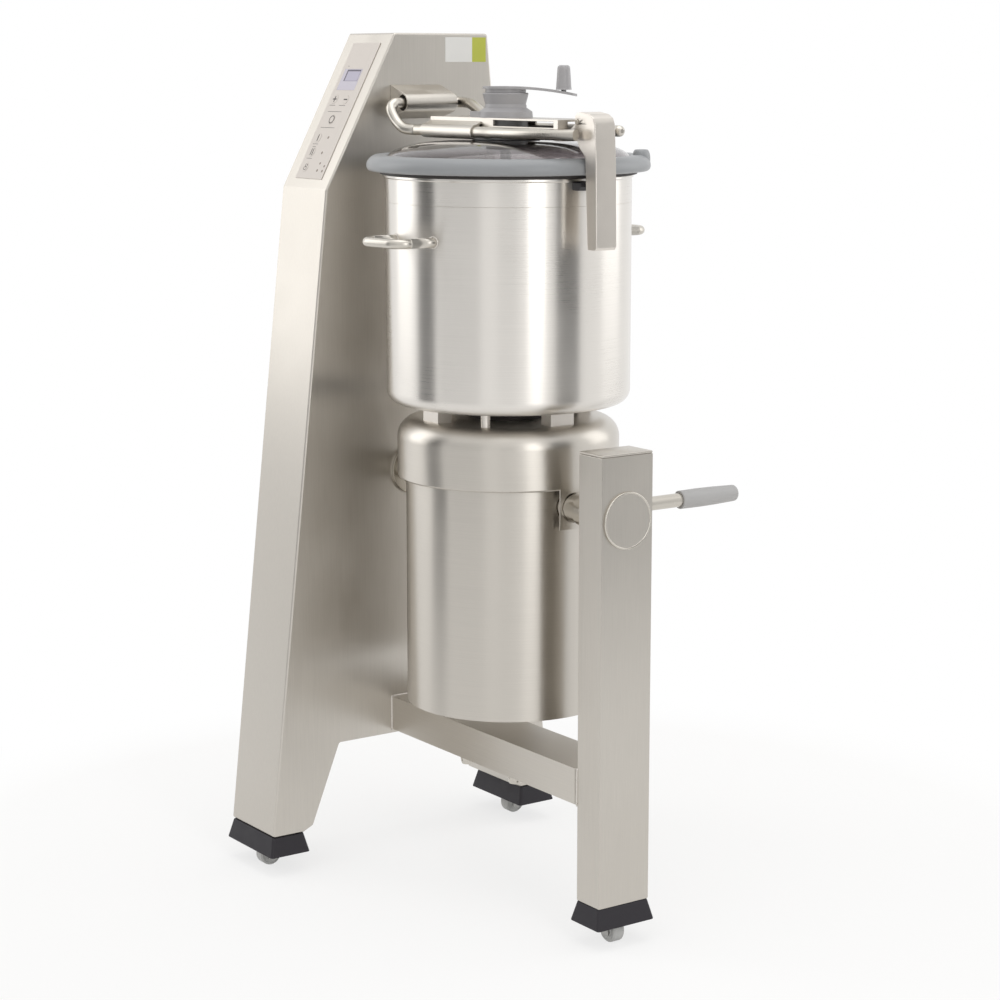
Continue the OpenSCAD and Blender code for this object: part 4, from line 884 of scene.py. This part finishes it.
class MIXER_OT_bowl(MixerPiece, bpy.types.Operator):
    """Bowl, collar, handles, catch, blades"""

    bl_idname = "mixer.bowl"
    bl_label = "Bowl"
    solids = (
        ("bowl", "bowl", 0), ("bowl_collar", "bowl", 0), ("bowl_handles", "tube", 0),
        ("bowl_catch", "black", 1.2), ("blade_hub", "ground", 0.6), ("blades", "ground", 1.2),
        ("blade_nut", "black", 0.8),
    )

    def execute(self, context):
        m = material_set()
        self.finish_solids(m)
        self.welds(m)
        return {"FINISHED"}

    def welds(self, m):
        """A low weld collar where each handle bar meets the wall."""
        # Middle line of the bead round a bar, half the span of a handle, its turn and its height
        bead_r, half, turn, bar_z = 8.1 * MM, 46 * MM, math.radians(5), 1.083
        radii = [sizes().weld * 0.75 * (1 + 0.14 * math.sin(i * 2.1)) for i in range(28)]
        mesh = bmesh.new()
        for facing in (turn, turn + math.pi):
            for side in (-1, 1):
                path = []
                for along, z in circle(side * half, bar_z, bead_r, len(radii)):
                    out = math.sqrt(BOWL_R**2 - along**2)
                    x = along * math.cos(facing) - out * math.sin(facing)
                    path.append((BOWL_X + x, along * math.sin(facing) + out * math.cos(facing), z))
                tube(mesh, path, radii, 8, closed=True)
        new_piece("handle_welds", mesh, m["weld"], "motor_unit", 60)


class MIXER_OT_lid(MixerPiece, bpy.types.Operator):
    """Lid ring, dome, seal, arm and funnel"""

    bl_idname = "mixer.lid"
    bl_label = "Lid"
    solids = (
        ("hinge_bracket", "sheet", 1.2), ("hinge_bushes", "black", 0), ("lid_arm_shaft", "tube", 0.6),
        ("lid_rail_near", "tube", 0.6), ("lid_rail_far", "tube", 0), ("yoke_plate", "beam", 0.9),
        ("lid_seal", "seal", 0.8), ("filler_funnel", "lid_grey", 0.8), ("clamp_block", "cast", 1),
    )

    def execute(self, context):
        m = material_set()
        self.finish_solids(m)
        self.ring(m)
        self.funnel_foot(m)
        self.dome(m)
        return {"FINISHED"}

    def ring(self, m):
        """The moulded ring in one smooth section, and its thumb ear with a dimple."""
        height, outer_r, inner_r, seat_r = 25, 223 * MM, 186 * MM, 191.05 * MM
        # Inwards from the outer radius and up from the ring's underside, in millimetres
        outer = from_mm(
            [(-10, 0), (-4.5, 0.8), (-1.3, 3.4), (0, 7.5), (-0.2, 11.5), (-1.7, 15.6), (-4.6, 19.6),
             (-8.6, 22.9), (-13.5, height)], outer_r, RING_Z,
        )
        seat = from_mm([(3.2, 0), (1.2, -0.8), (0, -2.6), (0, -6)], seat_r, RING_Z + height * MM)
        profile = [(inner_r, RING_Z)] + flowing(outer) + [outer[-1]] + seat + [(inner_r, seat[-1][1])]
        ring = new_piece(
            "lid_ring_moulded", lathe(profile, (BOWL_X, 0), 192), m["ring"], "lid", 50
        )
        turn = math.radians(52)
        away = outer_r - 15 * MM
        centre = Vector((BOWL_X + away * math.cos(turn), away * math.sin(turn), 0))
        ear_rise = 8
        ear = from_mm(
            [(0, -3.6), (3, -3.1), (5.5, -1.8), (7.4, -0.5), (8.6, 0), (9.8, -0.2), (11, -1.1), (12.2, -3.2),
             (13.3, -6.5), (14.2, -11), (14.2, -ear_rise - height / 2), (0, -ear_rise - height / 2)],
            0, RING_Z + (height + ear_rise) * MM,
        )
        thumb = lathe(ear, (0, 0), 64)
        # Half as long again round the ring as across it
        stretch = Matrix.Rotation(turn, 4, "Z") @ Matrix.Diagonal((1, 1.5, 1, 1))
        bmesh.ops.transform(thumb, matrix=Matrix.Translation(centre) @ stretch, verts=thumb.verts)
        new_piece("lid_ring_ear", thumb, m["ring"], "lid", 50)
        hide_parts("lid_ring")

    def funnel_foot(self, m):
        """The funnel's grey foot plate on the dome's crown, and its neck under the yoke."""
        z0, bore, funnel_x = DOME_HIGH.z + 0.02 * MM, 8.1 * MM, BOWL_X - 8 * MM
        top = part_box("yoke_plate")[1].z - 3.2 * MM
        plate = from_mm(
            [(52, 0), (54, 0.7), (54.6, 1.7), (54, 2.7), (52, 3.2), (38, 3.6), (36.4, 4.8), (36, 7.2)], 0, z0
        )
        profile = [(bore, z0)] + plate + [(35 * MM, top), (bore, top)]
        foot = lathe(profile, (funnel_x, 0), 96)
        new_piece("funnel_foot", foot, m["lid_grey"], "lid", 50)

    def dome(self, m):
        """The dome in one smooth curve of even thickness, with a hole for the wiper's shaft."""
        r, z, t = 191 * MM, DOME_LOW.z, 4 * MM
        rise = DOME_HIGH.z - DOME_LOW.z
        # Shares of the radius and of the rise, up to the edge of the hole
        shares = [(1, 0.1), (0.988, 0.2), (0.97, 0.31), (0.945, 0.42), (0.905, 0.545), (0.86, 0.645),
                  (0.8, 0.745), (0.73, 0.83), (0.66, 0.885), (0.58, 0.93), (0.48, 0.965), (0.36, 0.988),
                  (0.2, 1), (0.0965, 1)]
        hole_share = shares[-1][0]
        profile = [(r, z)] + [(r * a, z + rise * b) for a, b in shares]
        profile += [((r - t) * a if a > hole_share else r * a, z + (rise - t) * b) for a, b in shares[::-1]]
        profile += [(r - t - 1 * MM, z)]
        mesh = lathe(profile, (BOWL_X, 0))
        dome = new_piece("lid_dome_clear", mesh, m["dome"], "lid", 50)
        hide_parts("lid_dome")


class MIXER_OT_clamp(MixerPiece, bpy.types.Operator):
    """Clamp lever and its pin"""

    bl_idname = "mixer.clamp"
    bl_label = "Clamp"
    solids = (
        ("clamp_pin", "ground", 0.4),
    )

    def execute(self, context):
        m = material_set()
        finish_solid("clamp_lever", m["cast"], sizes().cast_edge, 4, 25)
        self.finish_solids(m)
        return {"FINISHED"}


class MIXER_OT_crank(MixerPiece, bpy.types.Operator):
    """Crank arm, knob and lid wiper"""

    bl_idname = "mixer.crank"
    bl_label = "Crank"
    solids = (
        ("crank_arm", "lid_grey", 1.2, 3), ("crank_knob", "lid_grey", 0.9, 3), ("wiper", "wiper", 1),
    )

    def execute(self, context):
        m = material_set()
        self.finish_solids(m)
        return {"FINISHED"}


# ---- stage


def emitter(name, level):
    """The plain glow of a card."""
    material = blank_material(name)
    if material is None:
        return bpy.data.materials[name]
    tree = material.node_tree
    glow = add_node(tree, "ShaderNodeEmission", {"Color": linear("#ffffff"), "Strength": level})
    add_node(tree, "ShaderNodeOutputMaterial", {"Surface": glow})
    return material


class MIXER_OT_stage(MixerPiece, bpy.types.Operator):
    """Floor, white room, soft lamps, reflection cards and camera"""

    bl_idname = "mixer.stage"
    bl_label = "Stage"

    def execute(self, context):
        settings = context.scene.mixer_stage
        self.world(settings)
        self.floor()
        self.lamps(settings)
        self.cards()
        self.camera()
        context.scene.view_settings.view_transform = "Standard"
        return {"FINISHED"}

    def world(self, settings):
        """White to the camera, to reflections and through the dome; softer as a light."""
        world = bpy.data.worlds.new("white_room")
        world.use_nodes = True
        tree = world.node_tree
        tree.nodes.clear()
        path = add_node(tree, "ShaderNodeLightPath")
        seen = path.outputs["Is Camera Ray"]
        for ray in ("Is Glossy Ray", "Is Transmission Ray"):
            seen = add_node(tree, "ShaderNodeMath", {0: seen, 1: path.outputs[ray]}, operation="MAXIMUM")
        colour = linear("#ffffff")
        light = add_node(tree, "ShaderNodeBackground", {"Color": colour, "Strength": settings.world})
        white = add_node(tree, "ShaderNodeBackground", {"Color": colour, "Strength": 1.0})
        mix = add_node(tree, "ShaderNodeMixShader", {0: seen, 1: light, 2: white})
        add_node(tree, "ShaderNodeOutputWorld", {"Surface": mix})
        bpy.context.scene.world = world

    def floor(self):
        """A pale floor that turns into the white room away from the machine."""
        material = blank_material("studio_floor_matt_white")
        tree = material.node_tree
        point = add_node(tree, "ShaderNodeTexCoord").outputs["Object"]
        _, speckle = wandering(tree, point, 1 / (6 * MM), 2.0, 0.5, (0.995, 1.005))
        pale = tuple(linear("#f4f3f1")[:3])
        tint = add_node(tree, "ShaderNodeVectorMath", {0: pale, "Scale": speckle}, operation="SCALE")
        matt = add_node(tree, "ShaderNodeBsdfDiffuse", {"Color": tint, "Roughness": 0.6})
        white = add_node(tree, "ShaderNodeEmission", {"Color": linear("#ffffff"), "Strength": 1.0})
        path = add_node(tree, "ShaderNodeLightPath")
        flat = add_node(tree, "ShaderNodeVectorMath", {0: point}, operation="LENGTH").outputs["Value"]
        # From the machine's feet, where the floor keeps its shadow, to where it is all white
        near, away, near_white = 0.55, 1.25, 0.7
        far = add_node(
            tree, "ShaderNodeMapRange", {"Value": flat, "From Min": near, "From Max": away},
            interpolation_type="SMOOTHSTEP",
        )
        seen = {0: path.outputs["Is Camera Ray"], 1: path.outputs["Is Glossy Ray"]}
        seen = add_node(tree, "ShaderNodeMath", seen, operation="MAXIMUM")
        share = add_node(tree, "ShaderNodeMath", {0: far, 1: near_white}, operation="MAXIMUM")
        share = add_node(tree, "ShaderNodeMath", {0: share, 1: seen}, operation="MULTIPLY")
        mix = add_node(tree, "ShaderNodeMixShader", {0: share, 1: matt, 2: white})
        add_node(tree, "ShaderNodeOutputMaterial", {"Surface": mix})
        mesh = bmesh.new()
        bmesh.ops.create_circle(mesh, cap_ends=True, segments=96, radius=14)
        add_object("studio_floor", mesh_data("studio_floor", mesh, material))

    def lamps(self, settings):
        """Soft boxes that no camera sees."""
        target = Vector((0, 0, 0.85))
        for name, place, width, height, power in (
            ("key_softbox", (-2.5, -1.8, 1.9), 1.6, 2.4, settings.key),
            ("fill_softbox", (3.0, -0.5, 1.5), 0.8, 2.4, settings.fill),
            ("back_softbox", (0.9, 2.9, 1.8), 1.6, 2.2, settings.fill),
            ("top_softbox", (0.2, 0.0, 3.6), 2.6, 2.6, settings.top),
        ):
            data = bpy.data.lights.new(name, "AREA")
            data.shape = "RECTANGLE"
            data.size = width
            data.size_y = height
            data.energy = power
            lamp = add_object(name, data)
            lamp.location = place
            lamp.rotation_euler = (target - Vector(place)).to_track_quat("-Z", "Y").to_euler()
            lamp.visible_camera = False

    def cards(self):
        """Upright cards at a bearing from the bowl, which give polished walls their dark and light bands.

        Each has its bearing and its spread in degrees, its distance in metres and its glow."""
        foot, top = 0.05, 2.3
        for name, bearing, spread, distance, level in (
            ("card_dark_left", -115, 20, 2.3, 0.1),
            ("card_dark_right", 20, 24, 2.5, 0.14),
            ("card_grey_front", -80, 40, 2.6, 0.72),
            ("card_grey_camera", -36, 18, 4.4, 0.78),
        ):
            turn = math.radians(bearing)
            middle = Vector((BOWL_X + distance * math.cos(turn), distance * math.sin(turn), 0))
            half = distance * math.tan(math.radians(spread / 2))
            side = Vector((-math.sin(turn), math.cos(turn), 0)) * half
            low, high = Vector((0, 0, foot)), Vector((0, 0, top))
            left, right = middle - side, middle + side
            mesh = bmesh.new()
            mesh.faces.new([mesh.verts.new(c) for c in (left + low, right + low, right + high, left + high)])
            card = add_object(name, mesh_data(name, mesh, emitter(name, level)))
            # Only reflections show the cards, and they light nothing
            for sight in ("camera", "diffuse", "shadow", "transmission"):
                setattr(card, "visible_" + sight, False)

    def camera(self):
        """The photograph's place, direction and lens."""
        data = bpy.data.cameras.new("camera")
        data.lens = 86.1
        data.sensor_width = 36
        camera = add_object("camera", data)
        camera.location = (3.150, -2.1854, 1.3462)
        aim = Vector((-0.80583, 0.56459, -0.17854))
        camera.rotation_euler = aim.to_track_quat("-Z", "Y").to_euler()
        bpy.context.scene.camera = camera


class MIXER_PT_panel(bpy.types.Panel):
    """Lists the pieces and their settings"""

    bl_label = "Cutter mixer"
    bl_idname = "MIXER_PT_panel"
    bl_space_type = "VIEW_3D"
    bl_region_type = "UI"
    bl_category = "Cutter mixer"

    def draw(self, context):
        for kind in OPERATORS:
            self.layout.operator(kind.bl_idname)
        for settings in (context.scene.mixer_finishes, context.scene.mixer_sizes, context.scene.mixer_stage):
            for key in settings.__annotations__:
                self.layout.prop(settings, key)


OPERATORS = (
    MIXER_OT_stage, MIXER_OT_column, MIXER_OT_panel, MIXER_OT_frame, MIXER_OT_feet, MIXER_OT_motor_unit,
    MIXER_OT_bowl, MIXER_OT_lid, MIXER_OT_clamp, MIXER_OT_crank,
)
CLASSES = (FinishColours, MachineSizes, StageSettings) + OPERATORS + (MIXER_PT_panel,)


def register():
    """Adds the classes and the settings of the scene."""
    for kind in CLASSES:
        bpy.utils.register_class(kind)
    bpy.types.Scene.mixer_finishes = PointerProperty(type=FinishColours)
    bpy.types.Scene.mixer_sizes = PointerProperty(type=MachineSizes)
    bpy.types.Scene.mixer_stage = PointerProperty(type=StageSettings)


def unregister():
    """Takes the settings and the classes away again."""
    del bpy.types.Scene.mixer_stage
    del bpy.types.Scene.mixer_sizes
    del bpy.types.Scene.mixer_finishes
    for kind in reversed(CLASSES):
        bpy.utils.unregister_class(kind)


def main():
    """Makes the stage and every piece."""
    register()
    for kind in OPERATORS:
        group, name = kind.bl_idname.split(".")
        getattr(getattr(bpy.ops, group), name)()


if __name__ == "__main__":
    main()
